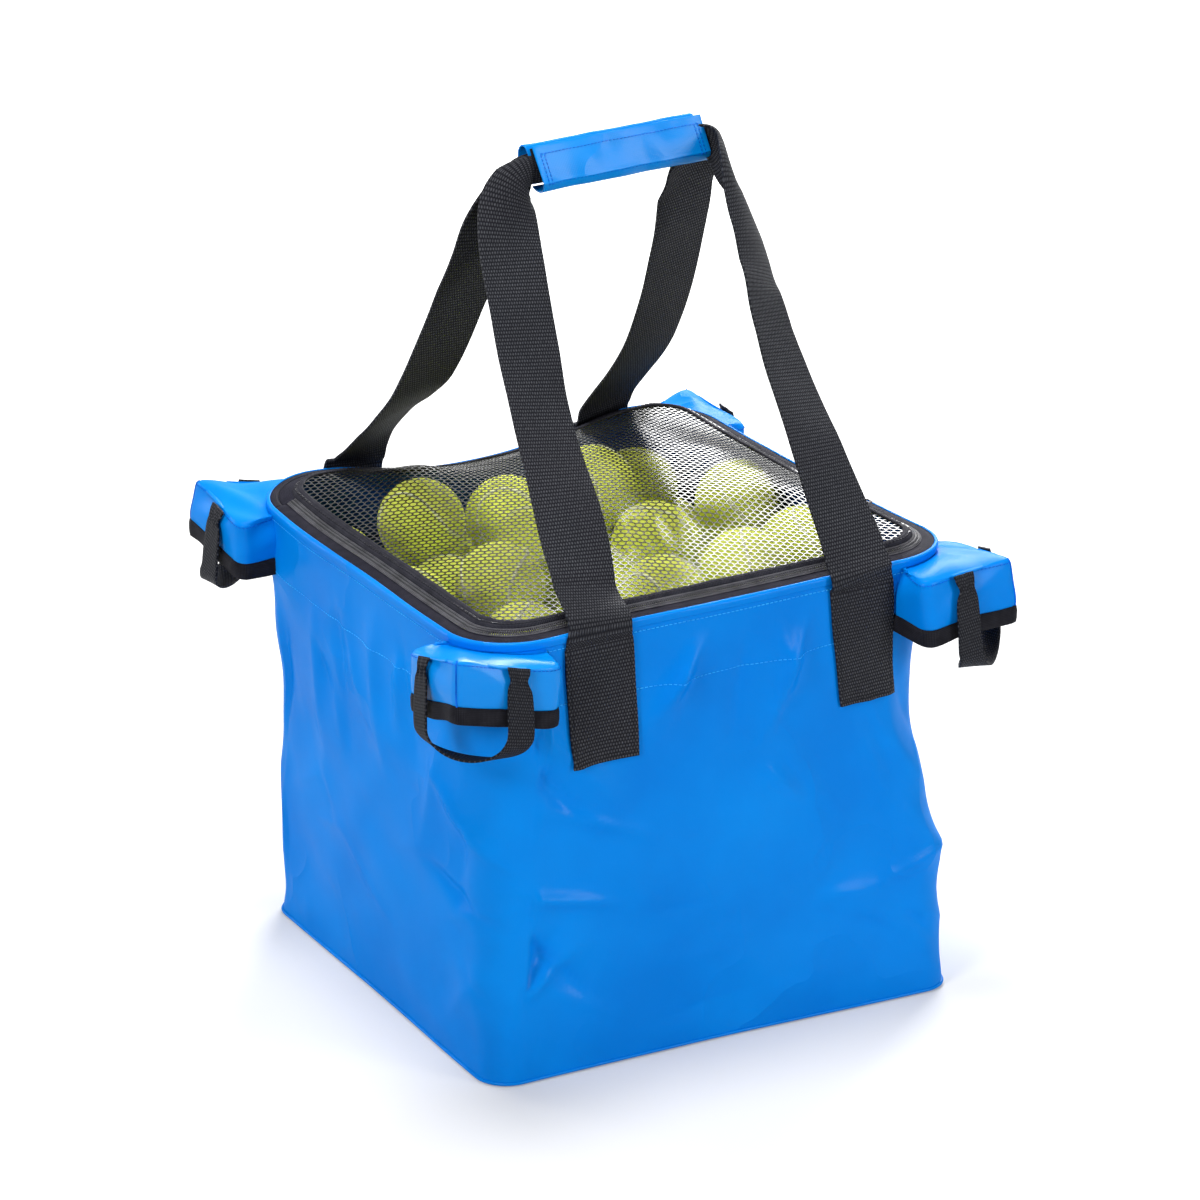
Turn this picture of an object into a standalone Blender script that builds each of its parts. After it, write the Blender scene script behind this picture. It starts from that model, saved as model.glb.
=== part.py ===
"""Square ball bag of a court cart: coated fabric walls, a zipped net lid, webbing handles
joined in a wrapped grip, and a hood with a pull loop at each rim corner.

Units are metres, +Z is up, the front wall faces -Y and the bag stands on z = 0.
Every piece is one object. A moving piece has its origin on its joint's axis.
"""

import math

import bmesh
import bpy
from mathutils import Vector

# Bag body
WIDTH = 0.380
DEPTH = 0.380
HEIGHT = 0.350
RIM_RADIUS = 0.050
BASE_RADIUS = 0.024
PANEL_THICKNESS = 0.0016
FACING_HEIGHT = 0.058
FACING_THICKNESS = 0.0012
SEAM_TAPE_THICKNESS = 0.0008
BASE_TAPE_HEIGHT = 0.018

# Fits
FIT = 0.0003
ARC_FIT = 0.0005

# Lid opening, measured inward from the outer face of the walls
TAPE_START = 0.0022
TAPE_THICKNESS = 0.0008
BAG_TAPE_WIDTH = 0.0128
COIL_WIDTH = 0.0018
COIL_HEIGHT = 0.0020
SLIDER_POST_WIDTH = 0.0008
LID_TAPE_WIDTH = 0.0070
LID_BINDING_WIDTH = 0.0085
LID_BINDING_THICKNESS = 0.0012
LID_SLOPE = 0.25
REAR_TAPE_WIDTH = 0.0055

# Net of the lid
NET_DOME_HEIGHT = 0.032
NET_STRAND = 0.0018
NET_CELLS_X = 16
NET_CELLS_Y = 16
NET_CORNER_PULL = 0.0046

# Zip sliders
SLIDER_LENGTH = 0.012
SLIDER_PLATE = 0.0010
SLIDER_REACH = 0.0075
SLIDER_MEETING_Y = -0.070
SLIDER_EAR_HEIGHT = 0.0032
SLIDER_EAR_WIDTH = 0.0010
SLIDER_EAR_LENGTH = 0.0036
PULL_WIDTH = 0.0042
PULL_LENGTH = 0.024
PULL_THICKNESS = 0.0012

# Carrying handles
WEB_WIDTH = 0.050
WEB_THICKNESS = 0.0018
WEB_SPACING = 0.214
WEB_SEWN_LENGTH = 0.106
WEB_ROOT_RISE = 0.003
GRIP_RISE = 0.277
GRIP_LENGTH = 0.140
FOLDED_WIDTH = 0.026
TURN_RADIUS = 0.018
TURN_FULLNESS = 0.50
FOLD_START = 0.78
# Each leg's line from the rim to its turn: share of the rim's reach, share of the grip's rise, twist in degrees
LEG_LINES = {
    "front_left": (
        (1.000, 0.000, 0), (0.962, 0.080, 0), (0.815, 0.202, 0), (0.575, 0.379, 0),
        (0.375, 0.525, 0), (0.247, 0.660, 0), (0.137, 0.800, 0), (0.052, 0.910, 0),
    ),
    "front_right": (
        (1.000, 0.000, 0), (0.983, 0.080, 8), (0.907, 0.166, 8), (0.788, 0.254, 14), (0.629, 0.408, 36),
        (0.501, 0.530, 42), (0.405, 0.720, 46), (0.339, 0.839, 54), (0.250, 0.915, 58),
    ),
    "rear_left": (
        (1.000, 0.000, 0), (0.910, 0.072, 16), (0.817, 0.136, 25), (0.567, 0.268, 18), (0.440, 0.375, 6),
        (0.341, 0.475, 0), (0.261, 0.571, 0), (0.186, 0.665, 0), (0.111, 0.758, 0), (0.042, 0.890, 0),
    ),
    "rear_right": (
        (1.000, 0.000, 0), (0.916, 0.088, -13), (0.806, 0.156, -13), (0.606, 0.282, -11), (0.407, 0.449, -10),
        (0.242, 0.649, -9), (0.185, 0.743, -8), (0.133, 0.836, -6), (0.083, 0.905, -3),
    ),
}

# Wrap round the two handles
WRAP_THICKNESS = 0.0012
WRAP_DEPTH = 0.0135
WEB_RUN_PAST_WRAP = 0.001
WRAP_FOLD_HEIGHT = 0.0085
HOOK_STRIP_THICKNESS = 0.0010
HOOK_STRIP_HEIGHT = 0.013

# Corner hoods
HOOD_REACH = 0.032
HOOD_SIDE = 0.080
HOOD_DROP = 0.0060
HOOD_FABRIC = 0.0012
HOOD_BAND_HEIGHT = 0.038
HOOD_BINDING_HEIGHT = 0.0135
HOOD_BINDING_THICKNESS = 0.0032
HOOD_CORNER_RADIUS = 0.006

# Pull loops of the hoods
LOOP_WIDTH = 0.020
LOOP_THICKNESS = 0.0014
LOOP_OFFSET = 0.045
LOOP_WAIST_DROP = 0.009
LOOP_WAIST_WIDTH = 0.009
LOOP_FLARE_DROP = 0.018
LOOP_SIDE_DROP = 0.054
LOOP_BOW = 0.020

# Facets
CORNER_SEGMENTS = 6
LEG_SEGMENTS = 16
TURN_SEGMENTS = 6
LOOP_SEGMENTS = 10

# Places that several pieces share
HALF_W = WIDTH / 2
HALF_D = DEPTH / 2
HALF_FACET = math.radians(45 / CORNER_SEGMENTS)
WALL_GAP = FIT + 2 * PANEL_THICKNESS * math.tan(HALF_FACET)
COIL_GAP = SLIDER_POST_WIDTH + 2 * FIT
BAG_TAPE_END = TAPE_START + BAG_TAPE_WIDTH
BAG_COIL_START = BAG_TAPE_END + FIT
BAG_COIL_END = BAG_COIL_START + COIL_WIDTH
LID_COIL_START = BAG_COIL_END + COIL_GAP
LID_COIL_END = LID_COIL_START + COIL_WIDTH
LID_TAPE_START = LID_COIL_END + FIT
LID_TAPE_END = LID_TAPE_START + LID_TAPE_WIDTH
BINDING_START = LID_TAPE_END + FIT
BINDING_END = BINDING_START + LID_BINDING_WIDTH
REAR_TAPE_END = TAPE_START + REAR_TAPE_WIDTH
LID_REAR_START = REAR_TAPE_END + FIT
TAPE_Z = HEIGHT + TAPE_THICKNESS / 2 + FIT + 0.0001
HOOD_X = HALF_W + HOOD_REACH
HOOD_Y = HALF_D + HOOD_REACH
HOOD_TOP_Z = HEIGHT - HOOD_DROP
WEB_Y = HALF_D + FIT + WEB_THICKNESS / 2
HANDLE_AXIS_Y = WEB_Y + WEB_THICKNESS / 2 + FIT / 2
GRIP_Y = (WEB_THICKNESS + FIT) / 2
GRIP_Z = HEIGHT + GRIP_RISE
LOOP_STANDOFF = HOOD_BINDING_THICKNESS / 2 + FIT + LOOP_THICKNESS / 2
SEAM_STANDOFF = HOOD_FABRIC / 2 + FIT + LOOP_THICKNESS / 2
LOOP_AXIS_X = HOOD_X + (SEAM_STANDOFF - LOOP_OFFSET) / 2
LOOP_AXIS_Y = HOOD_Y + (SEAM_STANDOFF - LOOP_OFFSET) / 2

BLUE = (0.004, 0.196, 0.735, 1.0)
NAVY = (0.010, 0.060, 0.240, 1.0)
BLACK = (0.012, 0.012, 0.014, 1.0)
CHARCOAL = (0.022, 0.022, 0.026, 1.0)
STEEL = (0.120, 0.120, 0.125, 1.0)


# Scene and materials
def clear_scene():
    """Removes every object of the open scene."""
    for old in list(bpy.data.objects):
        bpy.data.objects.remove(old, do_unlink=True)


def make_collection(name):
    """Returns a new collection linked to the scene."""
    group = bpy.data.collections.new(name)
    bpy.context.scene.collection.children.link(group)
    return group


def finish(obj, group, colour, roughness, metallic=0.0):
    """Gives an object its own material and puts it in the part's collection."""
    material = bpy.data.materials.new(obj.name)
    material.use_nodes = True
    shader = material.node_tree.nodes["Principled BSDF"]
    shader.inputs["Base Color"].default_value = colour
    shader.inputs["Roughness"].default_value = roughness
    shader.inputs["Metallic"].default_value = metallic
    obj.data.materials.clear()
    obj.data.materials.append(material)
    for owner in list(obj.users_collection):
        owner.objects.unlink(obj)
    group.objects.link(obj)
    return obj


def move_origin(obj, point):
    """Puts an object's origin on a joint axis without moving its shape."""
    point = Vector(point)
    for vertex in obj.data.vertices:
        vertex.co -= point
    obj.location = point
    return obj


# Shapes
def sheet(name, rows, thickness, outside, offset=-1.0):
    """A fabric or tape skin swept through rows of points, with its thickness from Solidify.

    outside is a point on the outer side of the first face, which sets the skin's direction.
    offset is -1 to thicken away from the outer side and 0 to thicken evenly.
    """
    bm = bmesh.new()
    line = [bm.verts.new(p) for p in rows[0]]
    edges = [bm.edges.new((a, b)) for a, b in zip(line, line[1:])]
    for row in rows[1:]:
        made = bmesh.ops.extrude_edge_only(bm, edges=edges)["geom"]
        edges = [g for g in made if isinstance(g, bmesh.types.BMEdge)]
        edges = [e for e in edges if not any(v in line for v in e.verts)]
        line = ordered_line(edges, line)
        for vertex, point in zip(line, row):
            vertex.co = point
    bmesh.ops.recalc_face_normals(bm, faces=bm.faces)
    bm.faces.ensure_lookup_table()
    face = bm.faces[0]
    face.normal_update()
    if face.normal.dot(Vector(outside) - face.calc_center_median()) < 0:
        bmesh.ops.reverse_faces(bm, faces=bm.faces)
    return thicken(from_bmesh(name, bm), thickness, offset)


def ordered_line(edges, before):
    """The new row's vertices in the order of the row they were extruded from."""
    partner = {}
    for edge in edges:
        for vertex in edge.verts:
            for link in vertex.link_edges:
                other = link.other_vert(vertex)
                if other in before:
                    partner[other] = vertex
    return [partner[v] for v in before]


def from_bmesh(name, bm):
    """Makes an object of a bmesh and frees it."""
    mesh = bpy.data.meshes.new(name)
    bm.to_mesh(mesh)
    bm.free()
    obj = bpy.data.objects.new(name, mesh)
    bpy.context.scene.collection.objects.link(obj)
    return obj


def plate(name, outline, low, high):
    """A flat plate of any outline between two heights, from a filled 2D curve."""
    curve = bpy.data.curves.new(name, "CURVE")
    curve.dimensions = "2D"
    curve.fill_mode = "BOTH"
    curve.extrude = (high - low) / 2
    spline = curve.splines.new("POLY")
    spline.points.add(len(outline) - 1)
    for point, (x, y) in zip(spline.points, outline):
        point.co = (x, y, 0, 1)
    spline.use_cyclic_u = True
    obj = bpy.data.objects.new(name, curve)
    obj.location.z = (low + high) / 2
    bpy.context.scene.collection.objects.link(obj)
    return obj


def box(bm, low, high):
    """Adds a box between two corners to a bmesh and returns its vertices."""
    made = bmesh.ops.create_cube(bm, size=1.0)["verts"]
    size = [b - a for a, b in zip(low, high)]
    middle = [(a + b) / 2 for a, b in zip(low, high)]
    bmesh.ops.scale(bm, vec=size, verts=made)
    bmesh.ops.translate(bm, vec=middle, verts=made)
    return made


# Plan outlines
def arc(centre, radius, start, end, segments):
    """Points of a plan arc; angles are in degrees and both ends are included."""
    points = []
    for i in range(segments + 1):
        angle = math.radians(start + (end - start) * i / segments)
        points.append((centre[0] + radius * math.cos(angle), centre[1] + radius * math.sin(angle)))
    return points


def ring(inset, radius):
    """The whole rounded outline at an inset from the walls, counter-clockwise from the right."""
    a = HALF_W - inset
    b = HALF_D - inset
    points = []
    for sx, sy, start in ((1, 1, 0), (-1, 1, 90), (-1, -1, 180), (1, -1, 270)):
        centre = (sx * (a - radius), sy * (b - radius))
        points += arc(centre, radius, start, start + 90, CORNER_SEGMENTS)
    return points


def wall_line(side, inset, radius, clearance):
    """Plan line of one wall, from the middle of one corner to the middle of the next."""
    a = HALF_W - inset
    b = HALF_D - inset
    trim = math.degrees(clearance / 2 / radius)
    turn = {"front": 270, "right": 0, "rear": 90, "left": 180}[side]
    before = {"front": (-1, -1), "right": (1, -1), "rear": (1, 1), "left": (-1, 1)}[side]
    after = {"front": (1, -1), "right": (1, 1), "rear": (-1, 1), "left": (-1, -1)}[side]
    half = CORNER_SEGMENTS // 2
    centre = (before[0] * (a - radius), before[1] * (b - radius))
    points = arc(centre, radius, turn - 45 + trim, turn, half)
    centre = (after[0] * (a - radius), after[1] * (b - radius))
    return points + arc(centre, radius, turn, turn + 45 - trim, half)


def radius_at(z):
    """Corner radius of the walls, which widens from the base to the rim."""
    return BASE_RADIUS + (RIM_RADIUS - BASE_RADIUS) * z / HEIGHT


def zip_line(inset):
    """Plan line of the zip: right run, front corners and left run, up to the rear corners."""
    radius = RIM_RADIUS - inset
    cx = HALF_W - RIM_RADIUS
    cy = HALF_D - RIM_RADIUS
    points = [(HALF_W - inset, cy - FIT)]
    points += arc((cx, -cy), radius, 0, -90, CORNER_SEGMENTS)
    points += arc((-cx, -cy), radius, -90, -180, CORNER_SEGMENTS)
    points.append((-(HALF_W - inset), cy - FIT))
    return points


def rear_line(inset):
    """Plan line across the rear, with both rear corners."""
    radius = RIM_RADIUS - inset
    cx = HALF_W - RIM_RADIUS
    cy = HALF_D - RIM_RADIUS
    points = arc((cx, cy), radius, 0, 90, CORNER_SEGMENTS)
    points += arc((-cx, cy), radius, 90, 180, CORNER_SEGMENTS)
    return points


def opening_height(inset):
    """Height of the tapes at an inset: they rise gently inward from the rim."""
    return TAPE_Z + LID_SLOPE * (inset - TAPE_START)


def tape(name, line, start, end, thickness):
    """A tape that follows a plan line between two insets."""
    rows = []
    for inset in (start, end):
        z = opening_height(inset)
        rows.append([(x, y, z) for x, y in line(inset)])
    above = (rows[0][0][0], rows[0][0][1], 1.0)
    return sheet(name, rows, thickness, above, offset=0.0)


# Bag body
def build_walls(group):
    """Base, four walls, rim facing and the seam tapes inside."""
    base = plate("base_panel", ring(0, BASE_RADIUS), 0, PANEL_THICKNESS)
    finish(base, group, BLUE, 0.38)
    foot = PANEL_THICKNESS + FIT
    outs = {"front": (0, -1, 0), "right": (1, 0, 0), "rear": (0, 1, 0), "left": (-1, 0, 0)}
    for side, out in outs.items():
        rows = []
        for z in (foot, HEIGHT):
            rows.append([(x, y, z) for x, y in wall_line(side, 0, radius_at(z), WALL_GAP)])
        wall = sheet(side + "_panel", rows, PANEL_THICKNESS, out)
        finish(wall, group, BLUE, 0.38)

    inset = PANEL_THICKNESS + FIT
    rows = []
    for z in (HEIGHT - FACING_HEIGHT, HEIGHT):
        rows.append([(x, y, z) for x, y in ring(inset, radius_at(z) - inset)])
    facing = ring_band("rim_facing", rows, FACING_THICKNESS, (1, 1, 0))
    finish(facing, group, NAVY, 0.5)

    rows = []
    for z in (foot + FIT, foot + BASE_TAPE_HEIGHT):
        rows.append([(x, y, z) for x, y in ring(inset, radius_at(z) - inset)])
    base_tape = ring_band("base_seam_tape", rows, SEAM_TAPE_THICKNESS, (1, 1, 0))
    finish(base_tape, group, BLACK, 0.8)

    low = foot + BASE_TAPE_HEIGHT + FIT
    high = HEIGHT - FACING_HEIGHT - FIT
    for name, sx, sy, middle in corners():
        rows = []
        for z in (low, high):
            radius = radius_at(z) - inset
            spread = 90 / CORNER_SEGMENTS
            centre = (sx * (HALF_W - inset - radius), sy * (HALF_D - inset - radius))
            line = arc(centre, radius, middle - spread, middle + spread, 2)
            rows.append([(x, y, z) for x, y in line])
        tape_out = (sx, sy, 0)
        strip = sheet("corner_seam_tape_" + name, rows, SEAM_TAPE_THICKNESS, tape_out)
        finish(strip, group, BLACK, 0.8)


def ring_band(name, rows, thickness, outward, offset=-1.0):
    """A closed band between two rings of points.

    outward is (1, 1, 0) where the band's outer side faces away from the bag's middle line
    and (0, 0, 1) where it faces up.
    """
    bm = bmesh.new()
    edges = []
    for row in rows:
        line = [bm.verts.new(p) for p in row]
        for i, vertex in enumerate(line):
            edges.append(bm.edges.new((vertex, line[(i + 1) % len(line)])))
    bmesh.ops.bridge_loops(bm, edges=edges)
    bmesh.ops.recalc_face_normals(bm, faces=bm.faces)
    bm.faces.ensure_lookup_table()
    face = bm.faces[0]
    face.normal_update()
    if face.normal.dot(face.calc_center_median() * Vector(outward)) < 0:
        bmesh.ops.reverse_faces(bm, faces=bm.faces)
    return thicken(from_bmesh(name, bm), thickness, offset)


def thicken(obj, thickness, offset):
    """Gives an open skin its thickness."""
    solid = obj.modifiers.new("Thickness", "SOLIDIFY")
    solid.thickness = thickness
    solid.offset = offset
    solid.use_even_offset = True
    return obj


def corners():
    """Name, signs and plan angle of the four rim corners."""
    return (
        ("front_left", -1, -1, 225),
        ("front_right", 1, -1, 315),
        ("rear_left", -1, 1, 135),
        ("rear_right", 1, 1, 45),
    )


# Zip and net lid
def build_zip(group):
    """The tapes and coils of the zip on the bag and on the lid."""
    bag_tape = tape("zip_tape_bag", zip_line, TAPE_START, BAG_TAPE_END, TAPE_THICKNESS)
    finish(bag_tape, group, BLACK, 0.8)
    bag_coil = tape("zip_coil_bag", zip_line, BAG_COIL_START, BAG_COIL_END, COIL_HEIGHT)
    finish(bag_coil, group, CHARCOAL, 0.35)
    rear = tape("rear_hinge_tape", rear_line, TAPE_START, REAR_TAPE_END, TAPE_THICKNESS)
    finish(rear, group, BLACK, 0.8)


def build_lid(group):
    """Lid half of the zip, rear tape, binding and the domed net; all turn about the rear tape."""
    axis = (0, HALF_D - LID_REAR_START + FIT / 2, lid_axis_height())
    pieces = [
        (tape("zip_coil_lid", zip_line, LID_COIL_START, LID_COIL_END, COIL_HEIGHT), CHARCOAL),
        (tape("zip_tape_lid", zip_line, LID_TAPE_START, LID_TAPE_END, TAPE_THICKNESS), BLACK),
        (tape("lid_rear_tape", rear_line, LID_REAR_START, LID_TAPE_END, TAPE_THICKNESS), BLACK),
        (lid_binding(), BLACK),
        (lid_net(), CHARCOAL),
    ]
    for obj, colour in pieces:
        finish(obj, group, colour, 0.7)
        move_origin(obj, axis)


def lid_axis_height():
    """The lid turns about the upper edge of its rear tape."""
    return opening_height(LID_REAR_START) + TAPE_THICKNESS / 2


def lid_binding():
    """The closed band that binds the edge of the net."""
    rows = []
    for inset in (BINDING_START, BINDING_END):
        z = opening_height(inset)
        rows.append([(x, y, z) for x, y in ring(inset, RIM_RADIUS - inset)])
    return ring_band("lid_binding", rows, LID_BINDING_THICKNESS, (0, 0, 1), offset=0.0)


def lid_net():
    """Domed net inside the binding: a grid shaped to the opening, its edges turned to strands."""
    edge = BINDING_END + FIT + NET_STRAND / 2
    half_x = HALF_W - edge
    half_y = HALF_D - edge
    low = opening_height(BINDING_END)
    bm = bmesh.new()
    bmesh.ops.create_grid(bm, x_segments=NET_CELLS_X, y_segments=NET_CELLS_Y, size=1.0)
    for vertex in bm.verts:
        u, v = vertex.co.x, vertex.co.y
        pull = NET_CORNER_PULL * (abs(u) * abs(v)) ** 10
        rise = (1 - u**4) * (1 - v**4)
        vertex.co.x = u * half_x - math.copysign(pull, u)
        vertex.co.y = v * half_y - math.copysign(pull, v)
        vertex.co.z = low + NET_DOME_HEIGHT * rise
    obj = from_bmesh("lid_net", bm)
    strands = obj.modifiers.new("Strands", "WIREFRAME")
    strands.thickness = NET_STRAND
    strands.use_even_offset = False
    strands.use_boundary = True
    strands.use_replace = True
    return obj


# Zip sliders
def build_sliders(group):
    """Two sliders that meet head to head on the right run, each with a pull on its ears."""
    for name, way in (("front", -1), ("rear", 1)):
        near = SLIDER_MEETING_Y + way * FIT
        far = near + way * SLIDER_LENGTH
        y0, y1 = min(near, far), max(near, far)
        outer = HALF_W - BAG_COIL_END + SLIDER_REACH
        inner = HALF_W - BAG_COIL_END - FIT - SLIDER_POST_WIDTH
        post = inner + SLIDER_POST_WIDTH
        coil_z = opening_height((BAG_COIL_START + BAG_COIL_END) / 2)
        top = coil_z + slider_half_height()
        bottom = coil_z - slider_half_height()
        body = solid_box("zip_slider_" + name, (inner, y0, bottom), (post, y1, top))
        join_box(body, (inner, y0, top - SLIDER_PLATE), (outer, y1, top))
        join_box(body, (inner, y0, bottom), (outer, y1, bottom + SLIDER_PLATE))
        ear_y = (y0 + y1) / 2
        pull_x = slider_pull_x()
        root = top - SLIDER_PLATE / 2
        for side in (-1, 1):
            x = pull_x + side * (PULL_WIDTH / 2 + FIT + SLIDER_EAR_WIDTH / 2)
            low = (x - SLIDER_EAR_WIDTH / 2, ear_y - SLIDER_EAR_LENGTH / 2, root)
            high = (x + SLIDER_EAR_WIDTH / 2, ear_y + SLIDER_EAR_LENGTH / 2, top + SLIDER_EAR_HEIGHT)
            join_box(body, low, high)
        finish(body, group, STEEL, 0.35, 0.9)

        axis_z = top + SLIDER_EAR_HEIGHT - PULL_THICKNESS
        finish(slider_pull(name, way, pull_x, ear_y, axis_z), group, STEEL, 0.35, 0.9)


def slider_half_height():
    """From the middle of the coil to the outer face of a slider plate."""
    slant = LID_SLOPE * SLIDER_REACH
    return COIL_HEIGHT / 2 + FIT + SLIDER_PLATE + slant


def slider_pull_x():
    """The pull stands over the bag's own coil, so the lid lifts past it."""
    return HALF_W - BAG_COIL_END + SLIDER_REACH / 2


def slider_pull(name, way, x, y, z):
    """Flat pull, hinged between the slider's ears."""
    reach = y + way * PULL_LENGTH
    low_y, high_y = sorted((y - way * PULL_THICKNESS / 2, reach))
    bm = bmesh.new()
    half = PULL_THICKNESS / 2
    box(bm, (x - PULL_WIDTH / 2, low_y, z - half), (x + PULL_WIDTH / 2, high_y, z + half))
    pull = from_bmesh("slider_pull_" + name, bm)
    return move_origin(pull, (x, y, z))


def solid_box(name, low, high):
    """A box between two corners as an object."""
    bm = bmesh.new()
    box(bm, low, high)
    return from_bmesh(name, bm)


def join_box(target, low, high):
    """Fuses a box into the target."""
    other = solid_box("joined_box", low, high)
    union = target.modifiers.new("Union", "BOOLEAN")
    union.operation = "UNION"
    union.solver = "EXACT"
    union.object = other
    bpy.context.view_layer.update()
    graph = bpy.context.evaluated_depsgraph_get()
    fused = bpy.data.meshes.new_from_object(target.evaluated_get(graph))
    target.modifiers.clear()
    target.data = fused
    bpy.data.objects.remove(other, do_unlink=True)


# Carrying handles
def leg_curve(line):
    """A smooth curve through a leg's stations of (reach, rise, twist), with the length to each point."""
    ends = [[2 * p - q for p, q in zip(line[0], line[1])], [2 * p - q for p, q in zip(line[-1], line[-2])]]
    knots = [ends[0], *line, ends[1]]
    points = []
    for a, b, c, d in zip(knots, knots[1:], knots[2:], knots[3:]):
        for i in range(12):
            t = i / 12
            points.append([
                0.5 * (2 * q + (r - p) * t + (2 * p - 5 * q + 4 * r - w) * t**2 + (3 * q - p - 3 * r + w) * t**3)
                for p, q, r, w in zip(a, b, c, d)
            ])
    points.append(list(line[-1]))
    lengths = [0.0]
    for a, b in zip(points, points[1:]):
        lengths.append(lengths[-1] + math.hypot((b[0] - a[0]) * WEB_Y, (b[1] - a[1]) * GRIP_RISE))
    return points, lengths


def on_curve(points, lengths, share):
    """The curve's point at a share of its length."""
    s = share * lengths[-1]
    for i in range(1, len(lengths)):
        if s <= lengths[i]:
            part = (s - lengths[i - 1]) / (lengths[i] - lengths[i - 1])
            return [a + part * (b - a) for a, b in zip(points[i - 1], points[i])]
    return points[-1]


def leg_rows(line, side, way):
    """Rows of a handle leg, from its sewn end up to where it has turned into the grip."""
    curve = leg_curve(line)
    foot = WEB_SPACING / 2
    grip_x = GRIP_LENGTH / 2 + WEB_RUN_PAST_WRAP
    knee_x = grip_x + TURN_RADIUS
    root_z = HEIGHT + FIT + WEB_ROOT_RISE
    rows = [(Vector((side * foot, way * WEB_Y, HEIGHT + FIT)), Vector((side, 0.0, 0.0)), WEB_WIDTH)]
    for i in range(LEG_SEGMENTS + 1):
        t = i / LEG_SEGMENTS
        reach, rise, twist = on_curve(*curve, t)
        fold = min(1.0, max(0.0, (t - FOLD_START) / (1 - FOLD_START)))
        width = WEB_WIDTH + (FOLDED_WIDTH - WEB_WIDTH) * fold * fold * (3 - 2 * fold)
        centre = Vector((side * (foot + (knee_x - foot) * t), way * reach * WEB_Y, root_z + rise * (GRIP_Z - root_z)))
        angle = math.radians(twist)
        rows.append((centre, Vector((side * math.cos(angle), -way * math.sin(angle), 0.0)), width))
    start = rows[-1][0]
    heading = (start - rows[-2][0]).normalized()
    first = rows[-1][1]
    end = Vector((side * grip_x, way * GRIP_Y, GRIP_Z))
    pull = (end - start).length * TURN_FULLNESS
    c1 = start + heading * pull
    c2 = end + Vector((side, 0.0, 0.0)) * pull
    for i in range(1, TURN_SEGMENTS + 1):
        t = i / TURN_SEGMENTS
        centre = start * (1 - t) ** 3 + c1 * 3 * t * (1 - t) ** 2 + c2 * 3 * t * t * (1 - t) + end * t**3
        run = (c1 - start) * (1 - t) ** 2 + (c2 - c1) * 2 * t * (1 - t) + (end - c2) * t * t
        turn = math.radians(90 * t)
        across = first * math.cos(turn) + Vector((0.0, 0.0, 1.0)) * math.sin(turn)
        across -= run * (across.dot(run) / run.length_squared)
        rows.append((centre, across.normalized(), FOLDED_WIDTH))
    return [[centre + across * (k * width / 2) for k in (1, 0, -1)] for centre, across, width in rows]


def handle_web(name, way):
    """The moving part of a handle: two legs that lean in and turn into the folded grip run."""
    left = leg_rows(LEG_LINES[name + "_left"], -1, way)
    right = leg_rows(LEG_LINES[name + "_right"], 1, way)
    path = left + list(reversed(right))
    outside = (path[0][0][0], way * 10.0, path[0][0][2])
    return sheet(name + "_handle_web", path, WEB_THICKNESS, outside, offset=0.0)


def build_handles(group):
    """Front and rear handle: sewn web ends, the moving web and its half of the wrap."""
    for name, way in (("front", -1), ("rear", 1)):
        for label, side in (("left", -1), ("right", 1)):
            bm = bmesh.new()
            x = side * WEB_SPACING / 2
            inner = way * (HALF_D + FIT)
            outer = way * (HALF_D + FIT + WEB_THICKNESS)
            low_y, high_y = sorted((inner, outer))
            low = (x - WEB_WIDTH / 2, low_y, HEIGHT - WEB_SEWN_LENGTH)
            high = (x + WEB_WIDTH / 2, high_y, HEIGHT - FIT)
            box(bm, low, high)
            sewn = from_bmesh(name + "_web_end_" + label, bm)
            finish(sewn, group, BLACK, 0.75)
        axis = (0, way * HANDLE_AXIS_Y, HEIGHT)
        web = handle_web(name, way)
        move_origin(finish(web, group, BLACK, 0.75), axis)
    build_wrap(group)


def build_wrap(group):
    """The grip's wrap in two halves, with the closing strip behind the front half."""
    half_web = WEB_THICKNESS + FIT / 2
    half_height = FOLDED_WIDTH / 2
    t = WRAP_THICKNESS
    under = -half_height - FIT - t / 2
    over = half_height + FIT + t / 2
    top = over + t + FIT
    front_section = [
        (-half_web - t, top),
        (-WRAP_DEPTH + t / 2, under + WRAP_FOLD_HEIGHT),
        (-half_web - t, under),
        (half_web, under),
    ]
    back = half_web + FIT + t / 2
    rear_section = [
        (back, under + t + FIT),
        (back, over - t / 3),
        (back - t / 3, over),
        (-half_web, over),
    ]
    front_axis = (0, -HANDLE_AXIS_Y, HEIGHT)
    rear_axis = (0, HANDLE_AXIS_Y, HEIGHT)
    cover = wrap_shell("grip_wrap_front", front_section, t, (0, -1, GRIP_Z))
    move_origin(finish(cover, group, BLUE, 0.38), front_axis)
    cover = wrap_shell("grip_wrap_rear", rear_section, t, (0, 1, GRIP_Z))
    move_origin(finish(cover, group, BLUE, 0.38), rear_axis)

    a, b = front_section[0], front_section[1]
    run = (b[0] - a[0], b[1] - a[1])
    length = math.hypot(*run)
    along = (run[0] / length, run[1] / length)
    inward = (-along[1], along[0])
    gap = t / 2 + FIT + HOOK_STRIP_THICKNESS / 2
    start = (a[0] + inward[0] * gap + along[0] * 2 * t, a[1] + inward[1] * gap + along[1] * 2 * t)
    end = (start[0] + along[0] * HOOK_STRIP_HEIGHT, start[1] + along[1] * HOOK_STRIP_HEIGHT)
    strip = wrap_shell("grip_hook_strip", [start, end], HOOK_STRIP_THICKNESS, (0, -1, GRIP_Z))
    move_origin(finish(strip, group, BLACK, 0.9), front_axis)


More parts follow.
